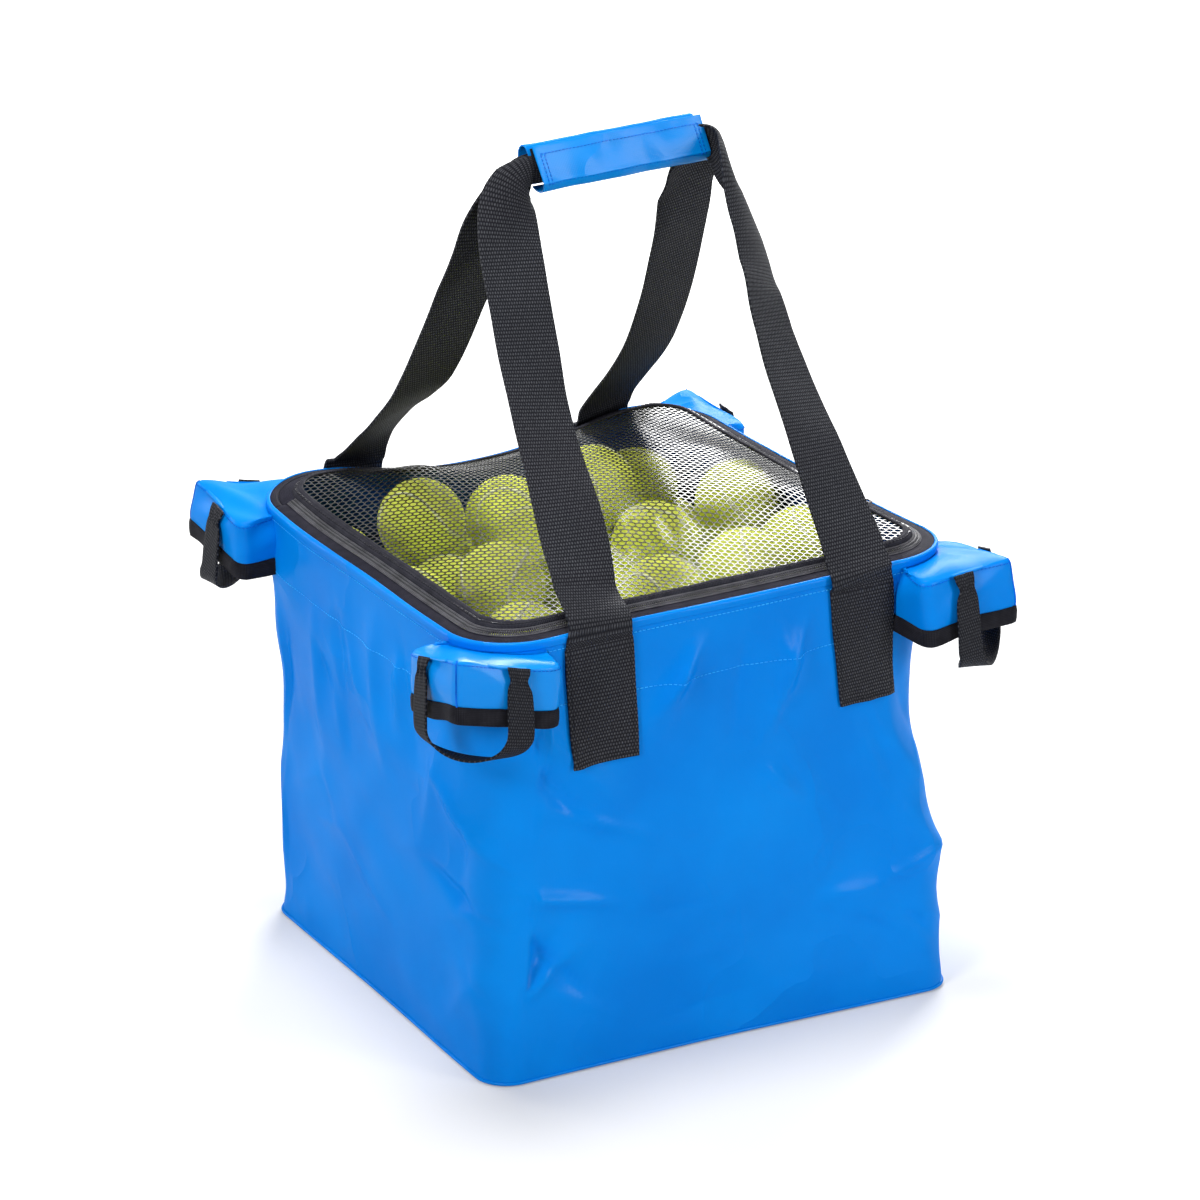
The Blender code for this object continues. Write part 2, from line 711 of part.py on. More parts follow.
def wrap_shell(name, section, thickness, outside):
    """A shell of constant section along the grip."""
    rows = []
    for x in (-GRIP_LENGTH / 2, GRIP_LENGTH / 2):
        rows.append([(x, y, GRIP_Z + z) for y, z in section])
    return sheet(name, rows, thickness, outside, offset=0.0)


# Corner hoods
def build_hoods(group):
    """A hood over each rim corner: top panel, side band, edge binding and pull loop."""
    for name, sx, sy, middle in corners():
        top = plate("hood_top_" + name, hood_outline(sx, sy), HOOD_TOP_Z - HOOD_FABRIC, HOOD_TOP_Z)
        finish(top, group, BLUE, 0.38)

        high = HOOD_TOP_Z - HOOD_FABRIC - FIT
        low = high - HOOD_BAND_HEIGHT
        band = hood_wall("hood_band_" + name, sx, sy, low, high, HOOD_FABRIC)
        finish(band, group, BLUE, 0.38)

        high = low - FIT
        low = high - HOOD_BINDING_HEIGHT
        edge = hood_wall("hood_binding_" + name, sx, sy, low, high, HOOD_BINDING_THICKNESS)
        finish(edge, group, BLACK, 0.6)

        loop = pull_loop("pull_loop_" + name, sx, sy)
        axis = (sx * LOOP_AXIS_X, sy * LOOP_AXIS_Y, HOOD_TOP_Z)
        move_origin(finish(loop, group, BLACK, 0.75), axis)


def hood_path(sx, sy, inset):
    """Plan line of a hood's side band: out from the front or rear wall, round, and back in."""
    x = HOOD_X - inset
    y = HOOD_Y - inset
    near = HOOD_SIDE - inset
    r = HOOD_CORNER_RADIUS - inset
    wall_x = HALF_W + FIT
    wall_y = HALF_D + FIT
    line = [(x - near, wall_y)]
    line += arc((x - near + r, y - r), r, 180, 90, 2)
    line += arc((x - r, y - r), r, 90, 0, 2)
    line += arc((x - r, y - near + r), r, 0, -90, 2)
    line.append((wall_x, y - near))
    return [(sx * px, sy * py) for px, py in line]


def hood_outline(sx, sy):
    """Plan outline of a hood's top panel, cut out round the bag's rim corner."""
    outer = hood_path(sx, sy, -HOOD_FABRIC / 2)
    clear = ARC_FIT
    radius = RIM_RADIUS + clear
    cx, cy = HALF_W - RIM_RADIUS, HALF_D - RIM_RADIUS
    inner = arc((cx, cy), radius, 2, 88, CORNER_SEGMENTS)
    inner = [(sx * px, sy * py) for px, py in inner]
    outer[0] = (outer[0][0], sy * (HALF_D + clear))
    outer[-1] = (sx * (HALF_W + clear), outer[-1][1])
    return outer + inner


def hood_wall(name, sx, sy, low, high, thickness):
    """A band of the hood's side outline between two heights."""
    line = hood_path(sx, sy, 0)
    rows = []
    for z in (low, high):
        rows.append([(x, y, z) for x, y in line])
    first = rows[0]
    outside = (first[0][0] - sx, first[0][1], low)
    return sheet(name, rows, thickness, outside, offset=0.0)


def pull_loop(name, sx, sy):
    """A strap sewn into the top seam on both sides of a hood, which bows under its corner.

    Each end is drawn in to a waist below the seam and hangs outside the binding. The loop
    swings out about the line through its two sewn ends.
    """
    middle = Vector((LOOP_AXIS_X, LOOP_AXIS_Y, HOOD_TOP_Z))
    along = Vector((-1, 1, 0)).normalized()
    out = Vector((1, 1, 0)).normalized()
    half = LOOP_WIDTH / 2
    stations = [
        (1.0, 0.0, half, SEAM_STANDOFF),
        (1.0, -LOOP_WAIST_DROP, LOOP_WAIST_WIDTH / 2, LOOP_STANDOFF),
        (1.0, -LOOP_FLARE_DROP, half, LOOP_STANDOFF),
        (1.0, -LOOP_SIDE_DROP, half, LOOP_STANDOFF),
    ]
    bends = []
    for i in range(1, LOOP_SEGMENTS):
        angle = math.pi * i / LOOP_SEGMENTS
        z = -LOOP_SIDE_DROP - LOOP_BOW * math.sin(angle)
        bends.append((math.cos(angle), z, half, LOOP_STANDOFF))
    ends = [(-s, z, w, stand) for s, z, w, stand in reversed(stations)]
    rows = []
    for s, z, w, stand in stations + bends + ends:
        turn = math.radians(90 + 45 * s)
        across = along * math.cos(turn) + out * math.sin(turn)
        centre = middle + along * (s * (LOOP_OFFSET + stand) / math.sqrt(2))
        centre += out * ((stand - SEAM_STANDOFF) / math.sqrt(2)) + Vector((0, 0, z))
        row = [centre + across * (k * w) for k in (-1, 1)]
        rows.append([(sx * p.x, sy * p.y, p.z) for p in row])
    x, y, z = rows[0][0]
    return sheet(name, rows, LOOP_THICKNESS, (x, y + sy, z), offset=0.0)


def build():
    """Builds every piece of the bag."""
    clear_scene()
    group = make_collection("ball_cart_bag")
    build_walls(group)
    build_zip(group)
    build_lid(group)
    build_sliders(group)
    build_handles(group)
    build_hoods(group)


build()
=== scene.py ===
"""Looks of the court cart's ball bag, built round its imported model.

Lengths are in metres. The front wall faces -Y and the bag stands on z = 0. Every piece has its
place in its mesh, so its object stays at the origin.
"""

import logging
import math
from collections.abc import Callable, Sequence
from dataclasses import dataclass, field
from enum import Enum

import bmesh
import bpy
import numpy as np
from mathutils import Matrix, Vector


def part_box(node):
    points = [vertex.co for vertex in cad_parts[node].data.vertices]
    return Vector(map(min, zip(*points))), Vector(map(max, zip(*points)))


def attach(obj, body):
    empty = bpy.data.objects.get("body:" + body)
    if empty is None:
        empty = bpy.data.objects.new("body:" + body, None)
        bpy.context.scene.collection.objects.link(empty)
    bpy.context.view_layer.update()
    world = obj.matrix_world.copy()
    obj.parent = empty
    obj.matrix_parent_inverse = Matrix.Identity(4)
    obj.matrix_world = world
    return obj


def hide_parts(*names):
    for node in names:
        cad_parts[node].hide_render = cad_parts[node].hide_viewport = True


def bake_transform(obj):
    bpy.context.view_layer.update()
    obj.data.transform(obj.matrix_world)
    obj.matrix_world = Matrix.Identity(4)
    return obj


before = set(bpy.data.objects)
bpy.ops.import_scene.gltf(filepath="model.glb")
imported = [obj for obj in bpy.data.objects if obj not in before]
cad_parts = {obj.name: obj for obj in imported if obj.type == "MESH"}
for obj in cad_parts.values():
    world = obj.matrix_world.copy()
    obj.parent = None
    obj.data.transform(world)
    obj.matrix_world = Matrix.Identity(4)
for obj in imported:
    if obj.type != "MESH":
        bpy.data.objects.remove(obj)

Array = np.ndarray
Place = Callable[[Array, Array], Array]
Colour = tuple[float, float, float]
Socket = bpy.types.NodeSocket
Mesh = bmesh.types.BMesh
Rows = tuple[tuple[float, ...], ...]

log = logging.getLogger("ball_bag")


class Slot(Enum):
    """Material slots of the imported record."""

    COATED = "coated_fabric"
    FACING = "facing_fabric"
    WEBBING = "webbing"
    TAPE = "zip_tape"
    COIL = "zip_coil"
    NET = "net"
    BINDING = "binding"
    HOOK = "hook_and_loop"
    METAL = "slider_metal"


class Corner(Enum):
    """The four rim corners, as the signs of their x and y."""

    FRONT_LEFT = (-1, -1)
    FRONT_RIGHT = (1, -1)
    REAR_LEFT = (-1, 1)
    REAR_RIGHT = (1, 1)

    @property
    def label(self) -> str:
        """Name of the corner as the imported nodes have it."""
        return self.name.lower()


# Finishes
class Graph:
    """Node tree of one finish, with short calls for the nodes that the finishes share."""

    def __init__(self, name: str, colour: Colour, roughness: float) -> None:
        """Starts a material from its plain colour and roughness."""
        self.material = bpy.data.materials.new(name)
        self.material.use_nodes = True
        self.tree = self.material.node_tree
        self.shader = self.tree.nodes["Principled BSDF"]
        self.shader.inputs["Base Color"].default_value = (*colour, 1.0)
        self.shader.inputs["Roughness"].default_value = roughness

    def node(self, kind: str, **settings: object) -> bpy.types.Node:
        """Adds a node.

        Args:
            kind: the node's type without its ShaderNode prefix.
            settings: attributes of the node.

        Returns:
            The new node.
        """
        made = self.tree.nodes.new("ShaderNode" + kind)
        for name, value in settings.items():
            setattr(made, name, value)
        return made

    def feed(self, socket: Socket, value: object) -> None:
        """Links an output to a socket, or sets the socket to a plain value."""
        if isinstance(value, Socket):
            self.tree.links.new(value, socket)
        else:
            socket.default_value = value

    def sums(self, operation: str, *values: object) -> Socket:
        """A Math node of one operation on sockets or numbers."""
        made = self.node("Math", operation=operation)
        for socket, value in zip(made.inputs, values):
            self.feed(socket, value)
        return made.outputs[0]

    def tint(self, share: object, first: Colour, second: Colour) -> None:
        """Colours the surface between two colours by a share from 0 to 1."""
        mix = self.node("Mix", data_type="RGBA", clamp_factor=True)
        self.feed(mix.inputs["Factor"], share)
        for name, colour in (("A", first), ("B", second)):
            socket = [s for s in mix.inputs if s.name == name and s.type == "RGBA"][0]
            self.feed(socket, (*colour, 1.0))
        mixed = [s for s in mix.outputs if s.type == "RGBA"][0]
        self.feed(self.shader.inputs["Base Color"], mixed)

    def shine(self, level: float) -> None:
        """Sets how much light the bare surface mirrors."""
        self.shader.inputs["Specular IOR Level"].default_value = level

    def stretch(
        self, value: object, low: float, high: float, new_low: float = 0.0, new_high: float = 1.0
    ) -> Socket:
        """Maps a value from one range to another and clamps it there."""
        made = self.node("MapRange", clamp=True)
        for socket, number in zip(made.inputs, (value, low, high, new_low, new_high)):
            self.feed(socket, number)
        return made.outputs[0]

    def cloth(self) -> tuple[Socket, Socket]:
        """The piece's own UV map in metres: along it and across it."""
        uv = self.node("UVMap", uv_map="cloth")
        parts = self.node("SeparateXYZ")
        self.tree.links.new(uv.outputs["UV"], parts.inputs[0])
        return parts.outputs[0], parts.outputs[1]

    def noise(self, scale: float, detail: float = 3.0, on_cloth: bool = False) -> Socket:
        """Noise on Object coordinates, or on the UV map.

        Args:
            scale: how many blobs to the metre.
            detail: octaves of the noise.
            on_cloth: reads the UV map in place of Object coordinates.

        Returns:
            The noise value, from 0 to 1.
        """
        if on_cloth:
            where = self.node("UVMap", uv_map="cloth").outputs["UV"]
        else:
            where = self.node("TexCoord").outputs["Object"]
        made = self.node("TexNoise", noise_dimensions="3D")
        self.feed(made.inputs["Vector"], where)
        made.inputs["Scale"].default_value = scale
        made.inputs["Detail"].default_value = detail
        return made.outputs["Fac"]

    def waves(self, position: object, pitch: float, shift: object = 0.0) -> Socket:
        """A smooth 0 to 1 wave of a pitch in metres, moved by a share of that pitch."""
        turns = self.sums("ADD", self.sums("DIVIDE", position, pitch), shift)
        wave = self.sums("SINE", self.sums("MULTIPLY", turns, 2 * math.pi))
        return self.sums("MULTIPLY_ADD", wave, 0.5, 0.5)

    def bump(self, height: object, distance: float, strength: float = 1.0) -> None:
        """Raises the surface by a height of 0 to 1 times a distance in metres."""
        made = self.node("Bump")
        made.inputs["Distance"].default_value = distance
        made.inputs["Strength"].default_value = strength
        before = self.shader.inputs["Normal"]
        if before.is_linked:
            self.tree.links.new(before.links[0].from_socket, made.inputs["Normal"])
        self.feed(made.inputs["Height"], height)
        self.tree.links.new(made.outputs["Normal"], before)

    def coat(self, weight: float, roughness: float) -> None:
        """Adds a clear coat that follows the bumps made so far."""
        self.shader.inputs["Coat Weight"].default_value = weight
        self.shader.inputs["Coat Roughness"].default_value = roughness
        relief = self.shader.inputs["Normal"]
        if relief.is_linked:
            self.tree.links.new(relief.links[0].from_socket, self.shader.inputs["Coat Normal"])


@dataclass(frozen=True)
class CoatedCloth:
    """Woven polyester with a smooth plastic coat: fine weave, sharp small creases, soft gloss."""

    name: str
    colour: Colour
    deep: Colour
    gloss: float = 0.10
    weave: float = 0.0011
    relief: float = 0.00005
    crinkle: float = 0.0017

    def build(self) -> bpy.types.Material:
        """Builds the finish."""
        g = Graph(self.name, self.colour, 0.5)
        along, across = g.cloth()
        tone = g.stretch(g.noise(9.0, 4.0), 0.35, 0.68)
        g.tint(tone, self.deep, self.colour)
        threads = g.sums("MULTIPLY", g.waves(along, self.weave), g.waves(across, self.weave))
        g.feed(g.shader.inputs["Roughness"], g.stretch(g.noise(26.0, 5.0), 0.3, 0.75, 0.42, 0.58))
        ridge = g.sums("ABSOLUTE", g.sums("SUBTRACT", g.noise(8.5, 2.5), 0.5))
        crease = g.sums("POWER", g.stretch(ridge, 0.0, 0.10, 1.0, 0.0), 2.2)
        where = g.stretch(g.noise(5.0, 1.0), 0.41, 0.57)
        g.bump(g.sums("MULTIPLY", crease, where), self.crinkle, 0.75)
        g.bump(threads, self.relief, 0.6)
        g.bump(g.noise(150.0, 4.0), 0.00016, 0.4)
        g.shine(0.006)
        g.coat(self.gloss, 0.17)
        return g.material


@dataclass(frozen=True)
class BackingCloth:
    """The uncoated back of the cloth: matt, with a visible weave."""

    name: str
    colour: Colour
    light: Colour

    def build(self) -> bpy.types.Material:
        """Builds the finish."""
        g = Graph(self.name, self.colour, 0.72)
        along, across = g.cloth()
        threads = g.sums("MULTIPLY", g.waves(along, 0.0014), g.waves(across, 0.0014))
        mottle = g.sums("MULTIPLY", threads, g.stretch(g.noise(40.0), 0.3, 0.7, 0.4, 1.0))
        g.tint(mottle, self.colour, self.light)
        g.bump(threads, 0.00012, 0.7)
        g.shine(0.05)
        return g.material


@dataclass(frozen=True)
class Webbing:
    """Flat woven strap: crosswise rows of small raised picks, each row half a pick on, with a
    painted highlight on the picks.
    """

    name: str
    row: float
    pick: float
    dark: Colour = (0.0070, 0.0074, 0.0105)
    # The light colour is a painted highlight on the raised picks.
    light: Colour = (0.125, 0.130, 0.145)

    def build(self) -> bpy.types.Material:
        """Builds the finish."""
        g = Graph(self.name, self.dark, 0.58)
        along, across = g.cloth()
        rows = g.sums("DIVIDE", along, self.row)
        half = g.sums("MULTIPLY", g.sums("FLOOR", rows), 0.5)
        bars = g.sums("ABSOLUTE", g.sums("SINE", g.sums("MULTIPLY", rows, math.pi)))
        picks = g.waves(across, self.pick, half)
        row_shape = g.sums("POWER", bars, 0.8)
        raised = g.sums("MULTIPLY", row_shape, g.sums("MULTIPLY_ADD", picks, 0.78, 0.22))
        # Painted highlight: the raised picks are tinted towards the light colour, broken up by fine
        # and slow noise.
        pick_highlight_breakup = g.stretch(g.noise(420.0, 4.0, on_cloth=True), 0.25, 0.75, 0.35, 1.0)
        shade = g.stretch(g.noise(14.0), 0.3, 0.7, 0.7, 1.0)
        painted_pick_highlight = g.sums("MULTIPLY", g.sums("POWER", raised, 1.7), g.sums("MULTIPLY", pick_highlight_breakup, shade))
        g.tint(painted_pick_highlight, self.dark, self.light)
        g.bump(raised, 0.00055, 0.9)
        g.shine(0.05)
        return g.material


@dataclass(frozen=True)
class RibbedTape:
    """Narrow woven tape or binding with fine ribs across it."""

    name: str
    rib: float
    dark: Colour = (0.010, 0.010, 0.0145)
    light: Colour = (0.052, 0.052, 0.066)
    roughness: float = 0.62

    def build(self) -> bpy.types.Material:
        """Builds the finish."""
        g = Graph(self.name, self.dark, self.roughness)
        along, across = g.cloth()
        ribs = g.waves(along, self.rib)
        cross = g.waves(across, self.rib * 1.3)
        weave = g.sums("MULTIPLY", ribs, g.sums("MULTIPLY_ADD", cross, 0.5, 0.5))
        mottle = g.sums("MULTIPLY", weave, g.stretch(g.noise(120.0, 4.0), 0.3, 0.7, 0.3, 1.0))
        g.tint(mottle, self.dark, self.light)
        g.bump(weave, 0.00022, 0.8)
        g.shine(0.02)
        return g.material


@dataclass(frozen=True)
class Nylon:
    """Smooth nylon of the zip coil, the threads and the knitted net."""

    name: str
    colour: Colour
    roughness: float
    coat: float = 0.0
    grain: float = 900.0
    relief: float = 0.00012

    def build(self) -> bpy.types.Material:
        """Builds the finish."""
        g = Graph(self.name, self.colour, self.roughness)
        tone = g.stretch(g.noise(60.0, 4.0), 0.3, 0.7)
        pale = tuple(min(1.0, c * 1.9 + 0.004) for c in self.colour)
        g.tint(tone, self.colour, pale)
        g.bump(g.noise(self.grain, 2.0), self.relief, 0.4)
        g.shine(0.04)
        g.coat(self.coat, 0.22)
        return g.material


@dataclass(frozen=True)
class Felt:
    """Brushed felt of a tennis ball: nap, blotches and a fuzzy edge."""

    name: str
    colour: Colour
    shade: Colour

    def build(self) -> bpy.types.Material:
        """Builds the finish."""
        g = Graph(self.name, self.colour, 0.92)
        nap = g.noise(900.0, 5.0)
        blotch = g.noise(55.0, 4.0)
        tone = g.sums("MULTIPLY_ADD", nap, 0.6, g.sums("MULTIPLY", blotch, 0.5))
        share = g.stretch(tone, 0.38, 0.72)
        g.tint(share, self.shade, self.colour)
        g.bump(nap, 0.0011, 0.8)
        g.shine(0.05)
        g.shader.inputs["Sheen Weight"].default_value = 0.15
        g.shader.inputs["Sheen Roughness"].default_value = 0.5
        g.shader.inputs["Sheen Tint"].default_value = (*self.colour, 1.0)
        return g.material


@dataclass(frozen=True)
class Fuzz:
    """Hook or loop face of a touch-and-close strip."""

    name: str
    colour: Colour

    def build(self) -> bpy.types.Material:
        """Builds the finish."""
        g = Graph(self.name, self.colour, 0.9)
        fibres = g.noise(1500.0, 3.0)
        pale = tuple(c * 3.0 + 0.01 for c in self.colour)
        g.tint(g.stretch(fibres, 0.45, 0.7), self.colour, pale)
        g.bump(fibres, 0.0008, 0.9)
        g.shine(0.05)
        return g.material


@dataclass(frozen=True)
class SliderMetal:
    """Blackened die-cast metal, worn bright on its high spots."""

    name: str
    colour: Colour

    def build(self) -> bpy.types.Material:
        """Builds the finish."""
        g = Graph(self.name, self.colour, 0.36)
        g.shader.inputs["Metallic"].default_value = 0.9
        worn = g.stretch(g.noise(320.0, 5.0), 0.5, 0.72)
        g.tint(worn, self.colour, (0.32, 0.32, 0.33))
        g.feed(g.shader.inputs["Roughness"], g.stretch(g.noise(180.0, 4.0), 0.3, 0.7, 0.26, 0.5))
        g.bump(g.noise(700.0, 3.0), 0.00008, 0.4)
        return g.material


@dataclass(frozen=True)
class FloorPaint:
    """Pale studio floor, which shows white behind the bag and keeps its shadow."""

    name: str = "floor_paint"
    glow: float = 0.20
    near: float = 0.8
    far: float = 3.2

    def build(self) -> bpy.types.Material:
        """Builds the finish."""
        g = Graph(self.name, (0.62, 0.62, 0.62), 0.9)
        g.shine(0.0)
        g.shader.inputs["Emission Color"].default_value = (1.0, 1.0, 1.0, 1.0)
        path = g.node("LightPath")
        glossy, through = path.outputs["Is Glossy Ray"], path.outputs["Is Transmission Ray"]
        mirrored = g.sums("MAXIMUM", glossy, through)
        seen = g.sums("MAXIMUM", path.outputs["Is Camera Ray"], mirrored)
        spot = g.node("VectorMath", operation="LENGTH")
        g.feed(spot.inputs[0], g.node("TexCoord").outputs["Object"])
        level = g.stretch(spot.outputs["Value"], self.near, self.far, self.glow, 1.0)
        g.feed(g.shader.inputs["Emission Strength"], g.sums("MULTIPLY", seen, level))
        return g.material


BLUE = CoatedCloth("blue_coated_cloth", (0.0004, 0.222, 0.735), (0.0002, 0.182, 0.655))
# A lighter copy of the blue cloth for the pieces where more light falls, the front-left hood and
# the wrap's face: painted light, with a stronger coat and its own weave and crinkle.
PAINTED_LIT_BLUE = CoatedCloth(
    "hood_coated_cloth", (0.0012, 0.250, 0.760), (0.0005, 0.212, 0.690),
    gloss=0.30, weave=0.0013, relief=0.00008, crinkle=0.0012,
)
NAVY = BackingCloth("navy_backing", (0.003, 0.028, 0.16), (0.008, 0.065, 0.32))
# Each webbing's second colour is a painted highlight on its raised picks.
WEB = Webbing("strap_webbing", 0.0027, 0.0021)
LOOP_WEB = Webbing("loop_webbing", 0.0024, 0.0019, (0.008, 0.0085, 0.012), (0.080, 0.084, 0.095))
TAPE = RibbedTape("zip_tape_weave", 0.0009, (0.0095, 0.0095, 0.0150), (0.040, 0.038, 0.056))
SOFT_BINDING = RibbedTape(
    "soft_binding_weave", 0.0012, (0.012, 0.012, 0.017), (0.062, 0.062, 0.076)
)
EDGE_BINDING = RibbedTape(
    "edge_binding_weave", 0.0010, (0.008, 0.008, 0.011), (0.034, 0.034, 0.042), 0.5
)
COIL = Nylon("zip_coil_nylon", (0.038, 0.038, 0.044), 0.30, 0.5)
NET = Nylon("net_nylon", (0.009, 0.009, 0.012), 0.42, 1.00, 900.0, 0.00003)
BLUE_THREAD = Nylon("blue_thread", (0.020, 0.270, 0.820), 0.5)
DARK_THREAD = Nylon("dark_blue_thread", (0.001, 0.085, 0.420), 0.55)
BLACK_THREAD = Nylon("black_thread", (0.014, 0.014, 0.018), 0.5)
# Grey of the cords beside the coils: real threads, coloured lighter as a painted highlight of the
# coils' glints.
GREY_THREAD = Nylon("grey_thread", (0.085, 0.085, 0.095), 0.5)
FELT = Felt("ball_felt", (0.91, 0.95, 0.17), (0.70, 0.80, 0.08))
BALL_SEAM = Nylon("ball_seam_rubber", (0.52, 0.56, 0.32), 0.7)
HOOK = Fuzz("hook_strip_fuzz", (0.008, 0.008, 0.010))
METAL = SliderMetal("slider_metal", (0.055, 0.055, 0.060))

_built: dict[str, bpy.types.Material] = {}


def paint(finish: object) -> bpy.types.Material:
    """Builds a finish once and returns its material."""
    if finish.name not in _built:
        _built[finish.name] = finish.build()
    return _built[finish.name]


# Stitches: length along their row, width across it, and height
STITCH = (0.0022, 0.0005, 0.0004)
RIM_STITCH = (0.0024, 0.0006, 0.0005)
FACING_STITCH = (0.0024, 0.0005, 0.0004)
STRAP_STITCH = (0.0022, 0.0006, 0.0004)
HOOD_STITCH = (0.0022, 0.0005, 0.0005)
WRAP_STITCH = (0.0020, 0.0005, 0.0004)


# Meshes
def whole(values: Array) -> Array:
    """Indices that a sheet's parameters carry as floats."""
    return np.rint(values).astype(int)


def laid(length: float, width: float = 1.0) -> Place:
    """UV coordinates in metres of a sheet whose parameters run over a length and a width."""
    return lambda u, v: np.stack([u * length, v * width], -1)


def rows_of(vector: Sequence[float], count: int) -> Array:
    """One vector as an array of count rows."""
    return np.tile(np.array(vector, float), (count, 1))


def as_object(name: str, bm: Mesh, smooth: bool = True) -> bpy.types.Object:
    """Makes a linked object of a bmesh and frees it.

    Args:
        name: the piece's name.
        bm: the finished bmesh.
        smooth: shades its faces smooth.

    Returns:
        The new object.
    """
    for face in bm.faces:
        face.smooth = smooth
    mesh = bpy.data.meshes.new(name)
    bm.to_mesh(mesh)
    bm.free()
    made = bpy.data.objects.new(name, mesh)
    bpy.context.scene.collection.objects.link(made)
    return made


def grid_sheet(
    bm: Mesh,
    u: Array,
    v: Array,
    place: Place,
    cloth: Place,
    closed: bool = False,
    flip: bool = False,
) -> None:
    """Adds a sheet: a grid whose points are moved to where place puts them.

    Args:
        bm: receives the sheet.
        u: values of the first parameter, one for each column.
        v: values of the second parameter, one for each row.
        place: gives the points, N by 3, for N pairs of u and v.
        cloth: gives the UV coordinates in metres, N by 2.
        closed: the last column meets the first and is merged with it.
        flip: turns the faces round.
    """
    layer = bm.loops.layers.uv.get("cloth") or bm.loops.layers.uv.new("cloth")
    before_faces = set(bm.faces)
    columns, rows = len(u) - 1, len(v) - 1
    made = bmesh.ops.create_grid(bm, x_segments=columns, y_segments=rows, size=1.0)["verts"]
    corners = np.array([vertex.co[:2] for vertex in made])
    i = whole((corners[:, 0] + 1) / 2 * columns)
    j = whole((corners[:, 1] + 1) / 2 * rows)
    us, vs = np.asarray(u, float)[i], np.asarray(v, float)[j]
    points = place(us, vs)
    flat = cloth(us, vs)
    spot = {vertex: k for k, vertex in enumerate(made)}
    faces = [face for face in bm.faces if face not in before_faces]
    for face in faces:
        for loop in face.loops:
            loop[layer].uv = flat[spot[loop.vert]]
    for vertex, point in zip(made, points):
        vertex.co = point
    if flip:
        bmesh.ops.reverse_faces(bm, faces=faces)
    if closed:
        edge = [vertex for vertex, column in zip(made, i) if column in (0, columns)]
        bmesh.ops.remove_doubles(bm, verts=edge, dist=1e-6)


def sheet_object(
    name: str,
    u: Array,
    v: Array,
    place: Place,
    cloth: Place,
    closed: bool = False,
    flip: bool = False,
) -> bpy.types.Object:
    """A single sheet as an object; the arguments are those of grid_sheet."""
    bm = bmesh.new()
    grid_sheet(bm, u, v, place, cloth, closed, flip)
    bmesh.ops.remove_doubles(bm, verts=bm.verts, dist=1e-7)
    return as_object(name, bm)


def thicken(
    obj: bpy.types.Object, thickness: float, offset: float = -1.0, inner: int = 0
) -> bpy.types.Object:
    """Gives an open sheet its thickness.

    Args:
        obj: the sheet.
        thickness: in metres.
        offset: -1 grows it inward from its outer side, 0 evenly.
        inner: how many material slots further on the inner side is.

    Returns:
        The same object.
    """
    solid = obj.modifiers.new("Thickness", "SOLIDIFY")
    solid.thickness = thickness
    solid.offset = offset
    solid.use_even_offset = False
    solid.material_offset = inner
    return obj


def soften(obj: bpy.types.Object, width: float) -> None:
    """Rounds a piece's edges by a bevel of a width in metres."""
    edge = obj.modifiers.new("Edge", "BEVEL")
    edge.width = width
    edge.segments = 2


def block(bm: Mesh, middle: Sequence[float], size: Sequence[float]) -> None:
    """Adds a box of a size about its middle."""
    spot = Matrix.Translation(middle) @ Matrix.Diagonal((*size, 1.0))
    bmesh.ops.create_cube(bm, size=1.0, matrix=spot)


def dress(
    obj: bpy.types.Object,
    finish: object,
    slot: Slot | None,
    body: str | None,
    nodes: Sequence[str] = (),
    lining: object = None,
) -> None:
    """Gives a piece its finish and its body, and hides the nodes that it stands for.

    Args:
        obj: the piece.
        finish: its finish.
        slot: the record's material slot, or None where the record has none; not used.
        body: the CAD body it rides on, or None where it bends between two.
        nodes: the CAD nodes that it replaces.
        lining: a second finish, for the inner side.
    """
    obj.data.materials.clear()
    obj.data.materials.append(paint(finish))
    if lining is not None:
        obj.data.materials.append(paint(lining))
    if nodes:
        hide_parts(*nodes)
    if body is not None:
        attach(obj, body)


def unit(vectors: Array) -> Array:
    """Vectors of length one, row by row."""
    return vectors / np.maximum(np.linalg.norm(vectors, axis=-1, keepdims=True), 1e-12)


def spline(points: Sequence[Sequence[float]], count: int, even: bool = True) -> Array:
    """A smooth line through points, which may carry more numbers than three.

    Args:
        points: the points, of any number of values each.
        count: how many points the line has.
        even: spaces them evenly by the length of the first three values.

    Returns:
        An array of count rows.
    """
    p = np.asarray(points, float)
    p = np.vstack([2 * p[0] - p[1], p, 2 * p[-1] - p[-2]])
    rows = []
    for k in range(1, len(p) - 2):
        t = np.linspace(0, 1, 24, endpoint=False)[:, None]
        a, b, c, d = p[k - 1], p[k], p[k + 1], p[k + 2]
        square, cube = 2 * a - 5 * b + 4 * c - d, 3 * b - a - 3 * c + d
        rows.append(0.5 * (2 * b + (c - a) * t + square * t**2 + cube * t**3))
    fine = np.vstack(rows + [p[-2][None]])
    s = run_lengths(fine[:, :3]) if even else np.linspace(0, 1, len(fine))
    want = np.linspace(0, s[-1], count)
    return np.stack([np.interp(want, s, fine[:, k]) for k in range(fine.shape[1])], -1)


def run_lengths(points: Array) -> Array:
    """Length along a line of points from its first to each."""
    steps = np.linalg.norm(np.diff(points, axis=0), axis=1)
    return np.concatenate([[0.0], np.cumsum(steps)])


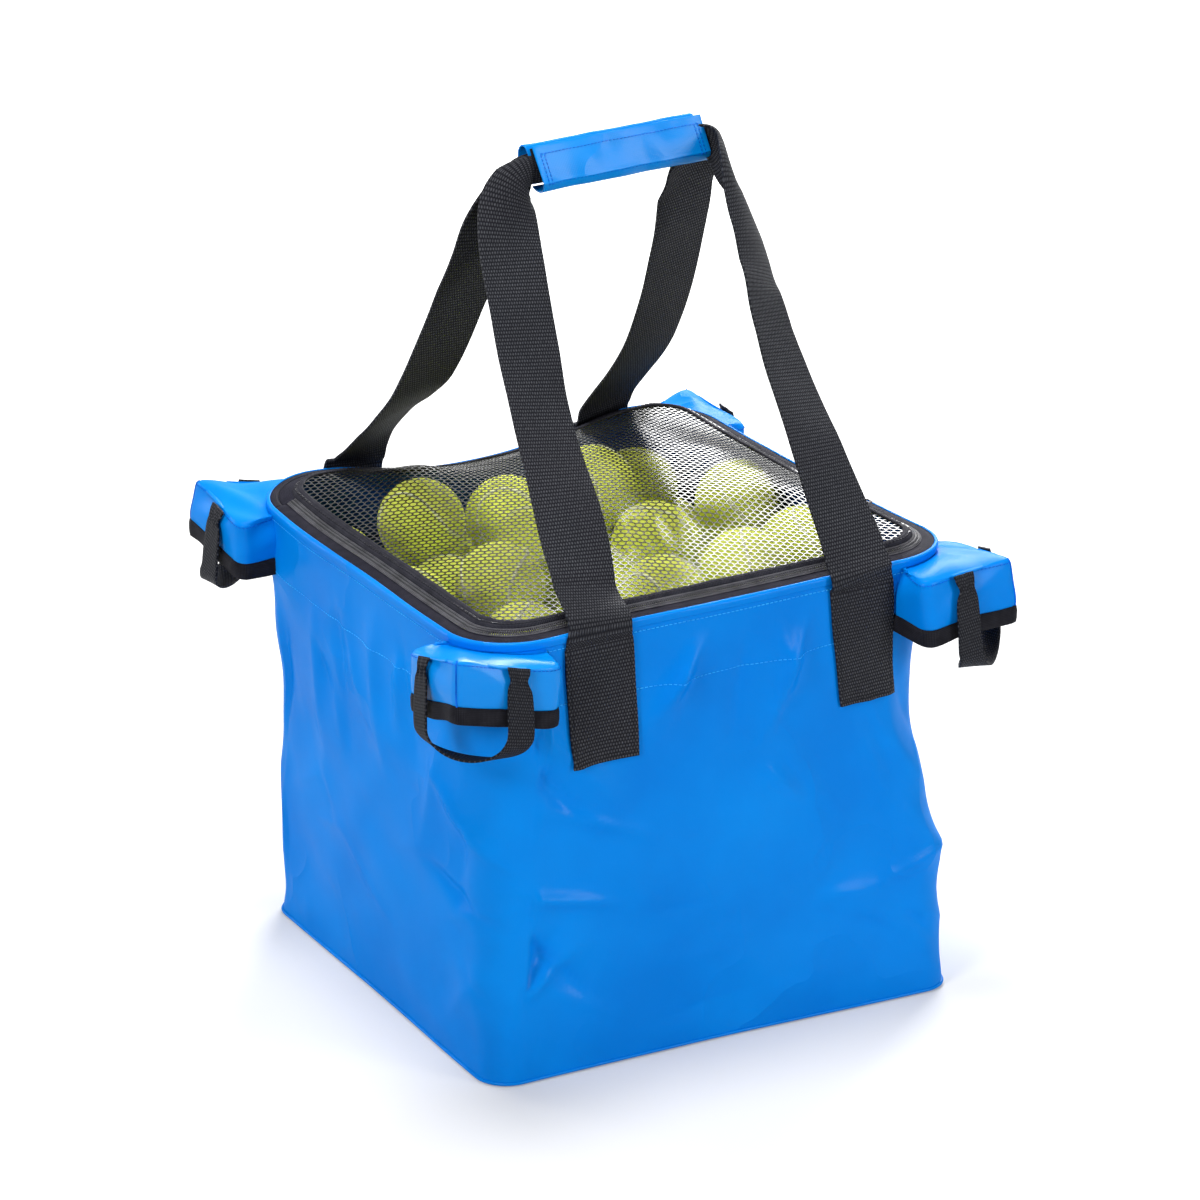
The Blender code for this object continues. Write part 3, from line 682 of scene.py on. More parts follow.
def bars(
    bm: Mesh,
    line: Array,
    normal: Array,
    pitch: float,
    size: tuple[float, float, float],
    lift: float = 0.0,
    lean: float = 0.0,
) -> None:
    """Sets small bars along a line, as stitches or zip teeth.

    Args:
        bm: receives the bars.
        line: points of the line.
        normal: outward direction at each point.
        pitch: from one bar to the next.
        size: length along the line, width across it, and height.
        lift: how far the bars' middles stand off the line.
        lean: turns each bar about the normal, in radians.
    """
    s = run_lengths(line)

    def read(values: Array, at: float) -> Array:
        return np.array([np.interp(at, s, values[:, k]) for k in range(3)])

    for at in np.arange(pitch / 2, s[-1], pitch):
        here = read(line, at)
        up = unit(read(normal, at))
        along = unit(read(line, min(at + pitch / 2, s[-1])) - read(line, max(at - pitch / 2, 0)))
        up = unit(up - along * up.dot(along))
        side = np.cross(up, along)
        turn = Matrix.Rotation(lean, 4, "Z") @ Matrix.Diagonal((*size, 1.0))
        axes = Matrix([(*row, 0.0) for row in np.stack([along, side, up], 1)] + [(0, 0, 0, 1)])
        spot = Matrix.Translation(Vector(here + up * lift))
        bmesh.ops.create_cube(bm, size=1.0, matrix=spot @ axes @ turn)


def tube(
    bm: Mesh, line: Array, radius: float, sides: int = 8, closed: bool = False
) -> None:
    """Adds a round tube along a line; an open one has flat closed ends.

    Args:
        bm: receives the tube.
        line: points of its centre line, without a repeated last one.
        radius: in metres.
        sides: faces round it.
        closed: joins the last point to the first.
    """
    points = np.vstack([line, line[:1]]) if closed else line
    if closed:
        along = unit(np.roll(line, -1, 0) - np.roll(line, 1, 0))
        along = np.vstack([along, along[:1]])
    else:
        along = unit(np.gradient(points, axis=0))
    up = rows_of((0, 0, 1), len(points))
    up[np.abs(along[:, 2]) > 0.9] = (0.0, 1.0, 0.0)
    side = unit(np.cross(along, up))
    top = np.cross(side, along)
    s = run_lengths(points)
    n = len(points)

    def place(us: Array, vs: Array) -> Array:
        k = whole(us)
        return points[k] + radius * (side[k] * np.cos(vs)[:, None] + top[k] * np.sin(vs)[:, None])

    def cloth(us: Array, vs: Array) -> Array:
        return np.stack([s[whole(us)], vs * radius], -1)

    before = set(bm.verts)
    grid_sheet(bm, np.arange(n), np.linspace(0, 2 * math.pi, sides + 1), place, cloth)
    made = [vertex for vertex in bm.verts if vertex not in before]
    bmesh.ops.remove_doubles(bm, verts=made, dist=1e-7)
    if not closed:
        made = [vertex for vertex in bm.verts if vertex not in before]
        rims = {edge for vertex in made for edge in vertex.link_edges if edge.is_boundary}
        bmesh.ops.holes_fill(bm, edges=list(rims), sides=sides)


# The bag's form
@dataclass(frozen=True)
class BagForm:
    """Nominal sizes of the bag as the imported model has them.

    The outline runs round in four equal shares of t. Each starts with a wall, which takes the part
    of it that straight says, and ends with the corner after it.
    """

    half: float = 0.190
    height: float = 0.350
    base_radius: float = 0.024
    rim_radius: float = 0.050
    straight: float = 0.80
    tape_start: float = 0.0022
    tape_height: float = 0.3508
    tape_end: float = 0.0112
    tape_slope: float = 0.10
    slope: float = 0.50
    walls: int = 4

    def wall_of(self, t: Array) -> tuple[Array, Array]:
        """The wall at a place round the outline, and the share of its quarter that has passed."""
        quarter = np.mod(t, 1.0) * self.walls
        wall = np.minimum(np.floor(quarter), self.walls - 1).astype(int)
        return wall, quarter - wall

    def radius(self, z: Array) -> Array:
        """Corner radius at a height."""
        share = np.clip(z / self.height, 0, 1)
        return self.base_radius + (self.rim_radius - self.base_radius) * share

    def outline(self, t: Array, inset: Array, z: Array) -> tuple[Array, Array]:
        """Points and outward directions of the rounded outline.

        Args:
            t: place round the outline, from the right wall, turning left.
            inset: from the outer face inward.
            z: heights.

        Returns:
            Points, N by 3, and unit normals, N by 3.
        """
        t, inset, z = np.broadcast_arrays(np.asarray(t, float), inset, z)
        a = self.half - inset
        r = np.maximum(self.radius(z) - inset, 0.004)
        wall, share = self.wall_of(t)
        along = np.clip(share / self.straight, 0, 1)
        turn = np.clip((share - self.straight) / (1 - self.straight), 0, 1) * math.pi / 2
        out = np.array([(1, 0), (0, 1), (-1, 0), (0, -1)], float)[wall]
        run = np.array([(0, 1), (-1, 0), (0, -1), (1, 0)], float)[wall]
        c = a - r
        xy = out * (c + r * np.cos(turn))[:, None]
        xy = xy + run * (-c + 2 * c * along + r * np.sin(turn))[:, None]
        normal = out * np.cos(turn)[:, None] + run * np.sin(turn)[:, None]
        flat = np.zeros(len(xy))
        return np.column_stack([xy, z]), np.column_stack([normal, flat])

    def opening(self, t: Array, inset: Array) -> Array:
        """Points of the tapes at an inset: nearly level at first, rising inward from the coil."""
        inset = np.broadcast_to(inset, np.shape(t))
        points, _ = self.outline(t, inset, np.full(np.shape(t), self.height))
        points[:, 2] = self.rise(inset)
        return points

    def rise(self, inset: Array) -> Array:
        """Height of the tapes at an inset."""
        level = self.tape_slope * (np.minimum(inset, self.tape_end) - self.tape_start)
        return self.tape_height + level + self.slope * np.maximum(inset - self.tape_end, 0.0)

    def place_of(self, wall: int, along: float) -> float:
        """The outline's t for a wall and a distance from its middle, counter-clockwise."""
        reach = self.half - self.rim_radius
        return (wall + self.straight * (0.5 + along / (2 * reach))) / self.walls


FORM = BagForm()


class Drape:
    """How the filled bag's cloth leans, swells and sags away from its nominal form.

    A smooth field through the offsets, in millimetres, at some nominal points.
    """

    REACH = 0.05
    FLOOR = 0.01
    OFFSETS = (
        ((0.178, -0.178, 0.0), (9, -6, 0)), ((0.178, -0.178, 0.06), (7, -4, 0)),
        ((0.176, -0.176, 0.12), (3, -2, 0)), ((0.175, -0.175, 0.18), (-5, 2.5, 0)),
        ((0.175, -0.175, 0.23), (-10, 6, 0)), ((0.175, -0.175, 0.30), (-2, 2, 0)),
        ((0.175, -0.175, 0.35), (7, -5, -1)),
        ((-0.178, 0.178, 0.0), (3, -1, 0)), ((-0.178, 0.178, 0.06), (5, -3, 0)),
        ((-0.176, 0.176, 0.12), (2, -1, 0)), ((-0.175, 0.175, 0.18), (4, -2, 0)),
        ((-0.175, 0.175, 0.24), (-1, 0, 0)), ((-0.175, 0.175, 0.30), (-6, 3, 2)),
        ((-0.175, 0.175, 0.35), (-7, 4, -3)),
        ((-0.178, -0.178, 0.0), (0, 0, 0)), ((-0.176, -0.176, 0.10), (0, 0, 0)),
        ((-0.175, -0.175, 0.20), (-2, -2, -2)), ((-0.175, -0.175, 0.30), (-6, -6, -7)),
        ((-0.175, -0.175, 0.35), (-9, -8, -11)),
        ((0.178, 0.178, 0.0), (0, 0, 0)), ((0.176, 0.176, 0.12), (-2, -2, 0)),
        ((0.175, 0.175, 0.24), (-8, -4, 0)), ((0.175, 0.175, 0.35), (-8, -2, 9)),
        ((0, -0.19, 0), (0, 0, 0)), ((0, -0.19, 0.12), (0, -6, 0)),
        ((0, -0.19, 0.24), (0, -7, -2)), ((0, -0.19, 0.35), (0, -7, -6)),
        ((-0.19, 0, 0), (3, 0, 0)), ((-0.19, 0, 0.12), (-6, 0, 0)),
        ((-0.19, 0, 0.24), (-9, 0, -4)), ((-0.19, 0, 0.35), (-10, 0, -10)),
        ((0.19, 0, 0), (0, 0, 0)), ((0.19, 0, 0.12), (6, 0, 0)),
        ((0.19, 0, 0.24), (4, 0, 0)), ((0.19, 0, 0.35), (2, 0, -1)),
        ((0, 0.19, 0), (0, 0, 0)), ((0, 0.19, 0.12), (0, 6, 0)),
        ((0, 0.19, 0.24), (0, 6, 0)), ((-0.02, 0.19, 0.35), (0, -1, -12)),
        ((0.05, 0.19, 0.35), (0, -1, -5)), ((-0.08, 0.19, 0.35), (0, 1, -8)),
        ((0.10, 0.19, 0.35), (0, 1, 6)), ((-0.12, 0.19, 0.35), (-2, 2, -1)),
        ((-0.19, 0.10, 0.35), (-10, 1, -9)), ((-0.19, -0.10, 0.35), (-10, -1, -12)),
        ((-0.10, -0.19, 0.35), (0, -7, -8)), ((0.10, -0.19, 0.35), (0, -6, -3)),
        ((0, 0, 0), (0, 0, 0)),
    )

    def __init__(self, more: Sequence[tuple[Sequence[float], Sequence[float]]] = ()) -> None:
        """Solves the field, with more offsets for a piece that hangs differently."""
        offsets = list(self.OFFSETS) + list(more)
        self.points = np.array([point for point, _ in offsets], float)
        moves = np.array([move for _, move in offsets], float) / 1000.0
        n = len(self.points)
        system = np.zeros((n + 4, n + 4))
        system[:n, :n] = self._kernel(self.points)
        system[:n, n] = system[n, :n] = 1.0
        system[:n, n + 1:] = self.points
        system[n + 1:, :n] = self.points.T
        self.weights = np.linalg.solve(system, np.vstack([moves, np.zeros((4, 3))]))

    def _kernel(self, points: Array) -> Array:
        """Softened distance of each point to each of the field's points."""
        gap = points[:, None] - self.points[None]
        return np.sqrt((gap**2).sum(-1) + self.REACH**2)

    def move(self, points: Array) -> Array:
        """Moves nominal points, N by 3, to where the cloth hangs, never below the floor."""
        points = np.atleast_2d(np.asarray(points, float))
        n = len(self.points)
        moved = points + self._kernel(points) @ self.weights[:n] + self.weights[n]
        moved = moved + points @ self.weights[n + 1:]
        low = points[:, 2] < self.FLOOR
        moved[low, 2] = np.maximum(moved[low, 2], points[low, 2])
        return moved

    def lean(self, normals: Array, points: Array) -> Array:
        """Normals as they turn with the cloth."""
        step = 0.002
        return unit(self.move(points + normals * step) - self.move(points))


DRAPE = Drape()


@dataclass(frozen=True)
class Fold:
    """A soft crease in a wall, from one point of the wall to another.

    The points are (distance along the wall from its middle, height); depth is out of the wall.
    """

    FACTOR = 1.90
    FALL = 1.45
    ROUNDING = 0.03

    wall: int
    start: tuple[float, float]
    end: tuple[float, float]
    width: float
    depth: float

    def height(self, along: Array, z: Array) -> Array:
        """How far the fold lifts the cloth at points of its wall."""
        a, b = np.array(self.start), np.array(self.end)
        run = b - a
        gap = np.stack([along, z], -1) - a
        share = np.clip((gap @ run) / (run @ run), 0, 1)
        off = np.linalg.norm(gap - share[:, None] * run, axis=1)
        taper = np.sin(math.pi * (0.10 + 0.80 * share)) ** 1.2
        away = np.sqrt((off / self.width) ** 2 + self.ROUNDING)
        return self.FACTOR * self.depth * taper * np.exp(-away * self.FALL)


# Creases: wall, from a distance along it and a height, to another, then width and depth out of it
FOLDS = (
    (3, -0.185, 0.285, -0.115, 0.195, 0.01, -0.0048),
    (3, -0.178, 0.152, -0.085, 0.128, 0.008, 0.0044),
    (3, -0.172, 0.132, -0.105, 0.058, 0.008, -0.0042),
    (3, -0.165, 0.055, -0.118, 0.1, 0.007, 0.0036), (3, -0.02, 0.33, -0.072, 0.262, 0.008, 0.0046),
    (3, 0.074, 0.33, 0.036, 0.24, 0.008, 0.0046), (3, 0.03, 0.215, 0.066, 0.18, 0.008, 0.0036),
    (3, -0.15, 0.215, -0.06, 0.176, 0.009, 0.0036), (3, 0.182, 0.12, 0.12, 0.098, 0.009, 0.0034),
    (2, 0.178, 0.168, 0.118, 0.232, 0.009, 0.0046), (2, 0.176, 0.12, 0.09, 0.15, 0.009, -0.0042),
    (3, -0.165, 0.285, -0.085, 0.205, 0.01, 0.003), (3, -0.15, 0.15, -0.18, 0.06, 0.014, 0.003),
    (3, -0.13, 0.12, -0.175, 0.04, 0.012, -0.0028), (3, -0.03, 0.335, -0.06, 0.25, 0.013, 0.0026),
    (3, 0.02, 0.335, 0.0, 0.23, 0.011, -0.0022), (3, 0.045, 0.335, 0.06, 0.26, 0.012, 0.0026),
    (3, 0.15, 0.28, 0.18, 0.19, 0.014, -0.0036), (3, 0.125, 0.26, 0.178, 0.15, 0.012, 0.003),
    (3, 0.15, 0.16, 0.185, 0.08, 0.016, 0.003), (3, 0.06, 0.09, 0.15, 0.05, 0.018, -0.0018),
    (3, -0.07, 0.21, 0.04, 0.15, 0.03, 0.002), (2, 0.14, 0.27, 0.09, 0.16, 0.014, 0.003),
    (2, 0.165, 0.24, 0.13, 0.12, 0.012, -0.0026), (2, 0.02, 0.32, 0.04, 0.2, 0.014, 0.0026),
    (2, -0.04, 0.32, -0.02, 0.19, 0.013, -0.0024), (2, -0.08, 0.3, -0.07, 0.17, 0.015, 0.0028),
    (2, -0.14, 0.27, -0.165, 0.12, 0.014, -0.003), (2, -0.15, 0.15, -0.18, 0.05, 0.016, 0.0028),
    (2, 0.17, 0.09, 0.11, 0.03, 0.014, 0.0026), (0, -0.17, 0.28, -0.12, 0.18, 0.014, 0.003),
    (0, -0.06, 0.31, -0.03, 0.18, 0.016, -0.0026), (0, 0.04, 0.31, 0.07, 0.19, 0.014, 0.0026),
    (0, 0.12, 0.27, 0.17, 0.15, 0.015, -0.003), (0, 0.15, 0.12, 0.06, 0.05, 0.018, 0.0026),
    (1, -0.16, 0.28, -0.1, 0.17, 0.014, 0.003), (1, -0.04, 0.3, 0.0, 0.18, 0.016, 0.003),
    (1, 0.07, 0.31, 0.05, 0.19, 0.014, -0.0026), (1, 0.13, 0.27, 0.17, 0.13, 0.015, 0.003),
    (1, -0.12, 0.11, -0.03, 0.05, 0.018, -0.0022),
)


@dataclass
class BagShell:
    """The blue body: one lofted shell with its folds, the base, the facing and the inner tapes."""

    thickness: float = 0.0016
    columns: int = 376
    rows: int = 118
    crumples: int = 26
    seed: int = 11
    facing: float = 0.058
    margin: float = 0.0006
    run: float = 0.30
    corner_run: float = 0.04
    calm_top: float = 0.05
    calm_foot: float = 0.02
    lip: Rows = (
        (-0.0006, 0.3455), (-0.0008, 0.3475), (-0.0008, 0.3495), (-0.0004, 0.3508),
        (0.0006, 0.3514), (0.0018, 0.3514),
    )
    stitch_pitch: float = 0.0036
    perimeter: float = 1.44
    corners: tuple[tuple[Corner, float], ...] = (
        (Corner.REAR_RIGHT, 0.225), (Corner.REAR_LEFT, 0.475),
        (Corner.FRONT_LEFT, 0.725), (Corner.FRONT_RIGHT, 0.975),
    )
    lumps: Rows = (
        (19.0, 15.0, 0.4, 0.0006), (27.0, -21.0, 1.9, 0.0004), (11.0, 31.0, 4.1, 0.0005),
    )
    folds: tuple[Fold, ...] = tuple(
        Fold(wall, (a, b), (c, d), width, depth) for wall, a, b, c, d, width, depth in FOLDS
    )

    def __post_init__(self) -> None:
        """Adds small seeded creases to each wall, steeper ones in its upper half."""
        rng = np.random.default_rng(self.seed)
        made = []
        for wall in range(FORM.walls):
            for _ in range(self.crumples):
                along, z = rng.uniform(-0.165, 0.165), rng.uniform(0.03, 0.30)
                if z > 0.17:
                    angle = rng.choice((-1, 1)) * rng.uniform(0.9, 1.5)
                else:
                    angle = rng.uniform(-1.2, 1.2)
                reach = rng.uniform(0.022, 0.050)
                dx, dz = reach * math.cos(angle), reach * math.sin(angle)
                width, depth = rng.uniform(0.007, 0.012), rng.uniform(-0.0021, 0.0023)
                made.append(Fold(wall, (along - dx, z - dz), (along + dx, z + dz), width, depth))
        self.folds = self.folds + tuple(made)

    def relief(self, t: Array, z: Array) -> Array:
        """Height of the folds and of the balls' soft lumps over the plain wall."""
        wall, share = FORM.wall_of(t)
        flat = -self.run / 2 + self.run * share / FORM.straight
        turned = self.run / 2 + self.corner_run * (share - FORM.straight) / (1 - FORM.straight)
        along = np.where(share < FORM.straight, flat, turned)
        lift, shared = np.zeros_like(z), self.corner_run / 2
        for fold in self.folds:
            here = wall == fold.wall
            lift[here] += fold.height(along[here], z[here])
            after = wall == (fold.wall - 1) % FORM.walls
            lift[after] += fold.height(along[after] - 2 * FORM.half + shared, z[after])
            before = wall == (fold.wall + 1) % FORM.walls
            lift[before] += fold.height(along[before] + 2 * FORM.half - shared, z[before])
        run = (wall + share) * self.perimeter / FORM.walls
        lumps = np.zeros_like(z)
        for fu, fv, shift, size in self.lumps:
            lumps += np.sin(math.pi * (fu * run + fv * z) + shift) * size
        below_rim = np.clip((FORM.height - z) / self.calm_top, 0, 1)
        return (lift + lumps) * (below_rim * np.clip(z / self.calm_foot, 0, 1))

    def surface(self, t: Array, z: Array, out: float = 0.0) -> Array:
        """Points on the draped wall, or a little outside it."""
        points, normal = FORM.outline(t, 0.0, z)
        return DRAPE.move(points + normal * (self.relief(t, z) + out)[:, None])

    def normals(self, t: Array, z: Array) -> Array:
        """Outward directions of the draped wall."""
        points, normal = FORM.outline(t, 0.0, z)
        return DRAPE.lean(normal, points)

    def build(self) -> None:
        """Builds the shell, the base and everything sewn flat to them."""
        t = np.linspace(0, 1, self.columns + 1)
        top = FORM.height - self.margin
        z = np.concatenate([[0.0008, 0.003], np.linspace(0.006, top, self.rows)])
        shell = sheet_object("bag_shell", t, z, self.surface, laid(self.perimeter), closed=True)
        thicken(shell, self.thickness, -1.0, 1)
        walls = ("front_panel", "rear_panel", "left_panel", "right_panel")
        dress(shell, BLUE, Slot.COATED, "bag", walls, NAVY)
        self.base()
        self.inside()
        self.seams()

    def base(self) -> None:
        """The floor of the bag and the welt that joins it to the walls."""

        def place(u: Array, v: Array) -> Array:
            points, _ = FORM.outline(u, 0.0, np.full_like(u, 0.0))
            points[:, :2] *= v[:, None]
            moved = DRAPE.move(points)
            moved[:, 2] = 0.0004 + 0.0012 * (1 - v**8)
            return moved

        def cloth(u: Array, v: Array) -> Array:
            return place(u, v)[:, :2]

        around, out = np.linspace(0, 1, 121), np.linspace(0.0, 0.996, 24)
        base = sheet_object("base_sheet", around, out, place, cloth, closed=True)
        thicken(base, self.thickness, -1.0, 1)
        dress(base, BLUE, Slot.COATED, "bag", ("base_panel",), NAVY)
        bm = bmesh.new()
        t = np.linspace(0, 1, 240, endpoint=False)
        tube(bm, self.surface(t, np.full_like(t, 0.0022), 0.0002), 0.0013, 8, True)
        dress(as_object("base_welt", bm), BLUE, Slot.COATED, "bag")

    def inside(self) -> None:
        """The facing inside the rim and the tapes over the inner seams."""
        turn = np.linspace(0, 1, 201)
        facing = np.linspace(FORM.height - self.facing, FORM.height - self.margin, 12)
        low, tall = np.linspace(0.004, 0.020, 5), np.linspace(0.021, 0.290, 30)
        band = ("rim_facing_band", turn, facing, 0.0022, 0.0012, NAVY, Slot.FACING, "rim_facing")
        seam = (0.0024, 0.0008, TAPE, Slot.BINDING)
        pieces = [band, ("base_tape_band", turn, low, *seam, "base_seam_tape")]
        for corner, middle in self.corners:
            span = np.linspace(middle - 0.009, middle + 0.009, 7)
            name = "corner_tape_" + corner.label
            pieces.append((name, span, tall, *seam, "corner_seam_tape_" + corner.label))
        for name, span, z, inset, thickness, finish, slot, node in pieces:

            def place(u: Array, v: Array) -> Array:
                points, normal = FORM.outline(u, 0.0, v)
                return DRAPE.move(points + normal * (self.relief(u, v) - inset)[:, None])

            piece = sheet_object(name, span, z, place, laid(self.perimeter), closed=span is turn)
            dress(thicken(piece, thickness), finish, slot, "bag", (node,))

    def seams(self) -> None:
        """The folded rim edge and the rows of stitches below it."""
        profile = spline([(0, inset, z) for inset, z in self.lip], 13)

        def place(u: Array, v: Array) -> Array:
            k = whole(v)
            wave = 0.0002 * np.sin(u * 83.0) * (k > 7)
            points, _ = FORM.outline(u, profile[k, 1] + wave, profile[k, 2])
            return DRAPE.move(points)

        around, cloth = np.linspace(0, 1, 361), laid(self.perimeter, 0.001)
        lip = sheet_object("rim_fold", around, np.arange(13), place, cloth, closed=True)
        dress(thicken(lip, 0.0009, 0.0), BLUE, Slot.COATED, "bag")
        bm = bmesh.new()
        loop = np.linspace(0, 1, 400)
        rows = ((-0.0045, RIM_STITCH), (-0.0085, RIM_STITCH), (0.004 - self.facing, FACING_STITCH))
        for rise, size in rows:
            z = np.full_like(loop, FORM.height + rise)
            bars(bm, self.surface(loop, z), self.normals(loop, z), self.stitch_pitch, size, 0.0001)
        dress(as_object("rim_stitching", bm), BLUE_THREAD, Slot.COATED, "bag")


@dataclass
class ZipBand:
    """The zip round the opening: tapes, coils and the soft binding of the lid."""

    shell: BagShell
    start: float = 0.5
    end: float = 1.0 + 0.25 * 0.80
    tooth_pitch: float = 0.0016
    tooth: tuple[float, float, float] = (0.0009, 0.0024, 0.0019)
    tape: float = 0.0008
    ripple: float = 0.0003
    cord: float = 0.00025
    binding: tuple[float, float] = (0.0178, 0.0258)
    front_binding: float = 0.0228

    def strip(
        self,
        name: str,
        span: Array,
        near: float,
        far: float,
        rows: int,
        arch: float,
        ripple: float = 0.0,
    ) -> bpy.types.Object:
        """A tape between two insets along part of the opening.

        Args:
            name: the piece's name.
            span: places round the opening.
            near: inset of its outer edge.
            far: inset of its inner edge.
            rows: points across it.
            arch: how far its middle stands up.
            ripple: how far its uneven waves reach.

        Returns:
            The tape, with its thickness.
        """

        def place(u: Array, v: Array) -> Array:
            points = FORM.opening(u, v)
            rise = arch * np.sin(math.pi * (v - near) / (far - near))
            points[:, 2] += rise + ripple * self.waviness(u)
            return DRAPE.move(points)

        tape = sheet_object(name, span, np.linspace(near, far, rows), place, laid(1.40), flip=True)
        return thicken(tape, self.tape, 0.0)

    @staticmethod
    def waviness(u: Array) -> Array:
        """Slow uneven ripple of soft tape along the opening."""
        fine = 0.3 * np.sin(u * 137.0 + 1.0) + 0.2 * np.sin(u * 229.0 + 2.2)
        return 0.5 * np.sin(u * 61.0) + fine

    def build(self) -> None:
        """Builds the tapes, the coils and the binding."""
        span = np.linspace(self.start, self.end, 420)
        tape = self.strip("bag_zip_tape", span, 0.0010, 0.0122, 8, 0.0008, self.ripple)
        dress(tape, TAPE, Slot.TAPE, "bag", ("zip_tape_bag",))
        lid_tape = self.strip("lid_zip_tape", span, 0.0160, 0.0215, 5, 0.0005, self.ripple)
        dress(lid_tape, TAPE, Slot.TAPE, "lid", ("zip_tape_lid",))
        self.coils(span)
        self.rear()
        self.soft_binding()

    def coils(self, span: Array) -> None:
        """Both rows of teeth with the threads that hold them, whose grey is a painted highlight of
        the coils' glints.
        """
        up = rows_of((0, 0, 1), len(span))
        for body, inset, lean in (("bag", 0.0132, 0.25), ("lid", 0.0152, -0.25)):
            bm = bmesh.new()
            line = DRAPE.move(FORM.opening(span, inset))
            bars(bm, line, up, self.tooth_pitch, self.tooth, 0.0007, lean)
            dress(as_object(body + "_zip_teeth", bm), COIL, Slot.COIL, body, ("zip_coil_" + body,))
        for body, insets in (("bag", (0.0112, 0.0119)), ("lid", (0.0166, 0.0173))):
            bm = bmesh.new()
            for inset in insets:
                line = DRAPE.move(FORM.opening(span, inset))
                line[:, 2] += 0.0012
                tube(bm, line, self.cord, 6)
            dress(as_object(body + "_zip_cords", bm), GREY_THREAD, Slot.COIL, body)

    def rear(self) -> None:
        """The tape across the rear, which the lid turns on."""
        span = np.linspace(0.25 * FORM.straight, 0.5, 160)
        bag_side = self.strip("rear_tape_bag_side", span, 0.0016, 0.0077, 5, 0.0006)
        dress(bag_side, TAPE, Slot.TAPE, "bag", ("rear_hinge_tape",))
        lid_side = self.strip("rear_tape_lid_side", span, 0.0080, 0.0215, 8, 0.0007)
        dress(lid_side, TAPE, Slot.TAPE, None, ("lid_rear_tape",))
        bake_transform(lid_side)

    def soft_binding(self) -> None:
        """The soft rolled binding that holds the net's edge."""
        near, wide = self.binding

        def place(u: Array, v: Array) -> Array:
            swell = 1.0 + 0.18 * self.waviness(u)
            front = np.clip((0.14 - np.abs(np.mod(u, 1.0) - 0.85)) / 0.05, 0, 1)
            far = wide + (self.front_binding - wide) * front
            inset = (near + far) / 2 + (far - near) / 2 * np.cos(v)
            points = FORM.opening(u, np.clip(inset, 0.0, None))
            points[:, 2] += 0.0017 * swell * np.sin(v) + 0.0012 + 0.0005 * self.waviness(u + 0.3)
            return DRAPE.move(points)

        around = np.linspace(0, 2 * math.pi, 15)
        span = np.linspace(0, 1, 480)
        piece = sheet_object("lid_soft_binding", span, around, place, laid(1.3, 0.003), closed=True)
        dress(piece, SOFT_BINDING, Slot.BINDING, "lid", ("lid_binding",))
        bm = bmesh.new()
        line = place(span, np.full_like(span, 0.62 * math.pi))
        bars(bm, line, rows_of((0, 0, 1), len(span)), 0.0034, STITCH, 0.0002)
        dress(as_object("lid_binding_stitches", bm), BLACK_THREAD, Slot.BINDING, "lid")


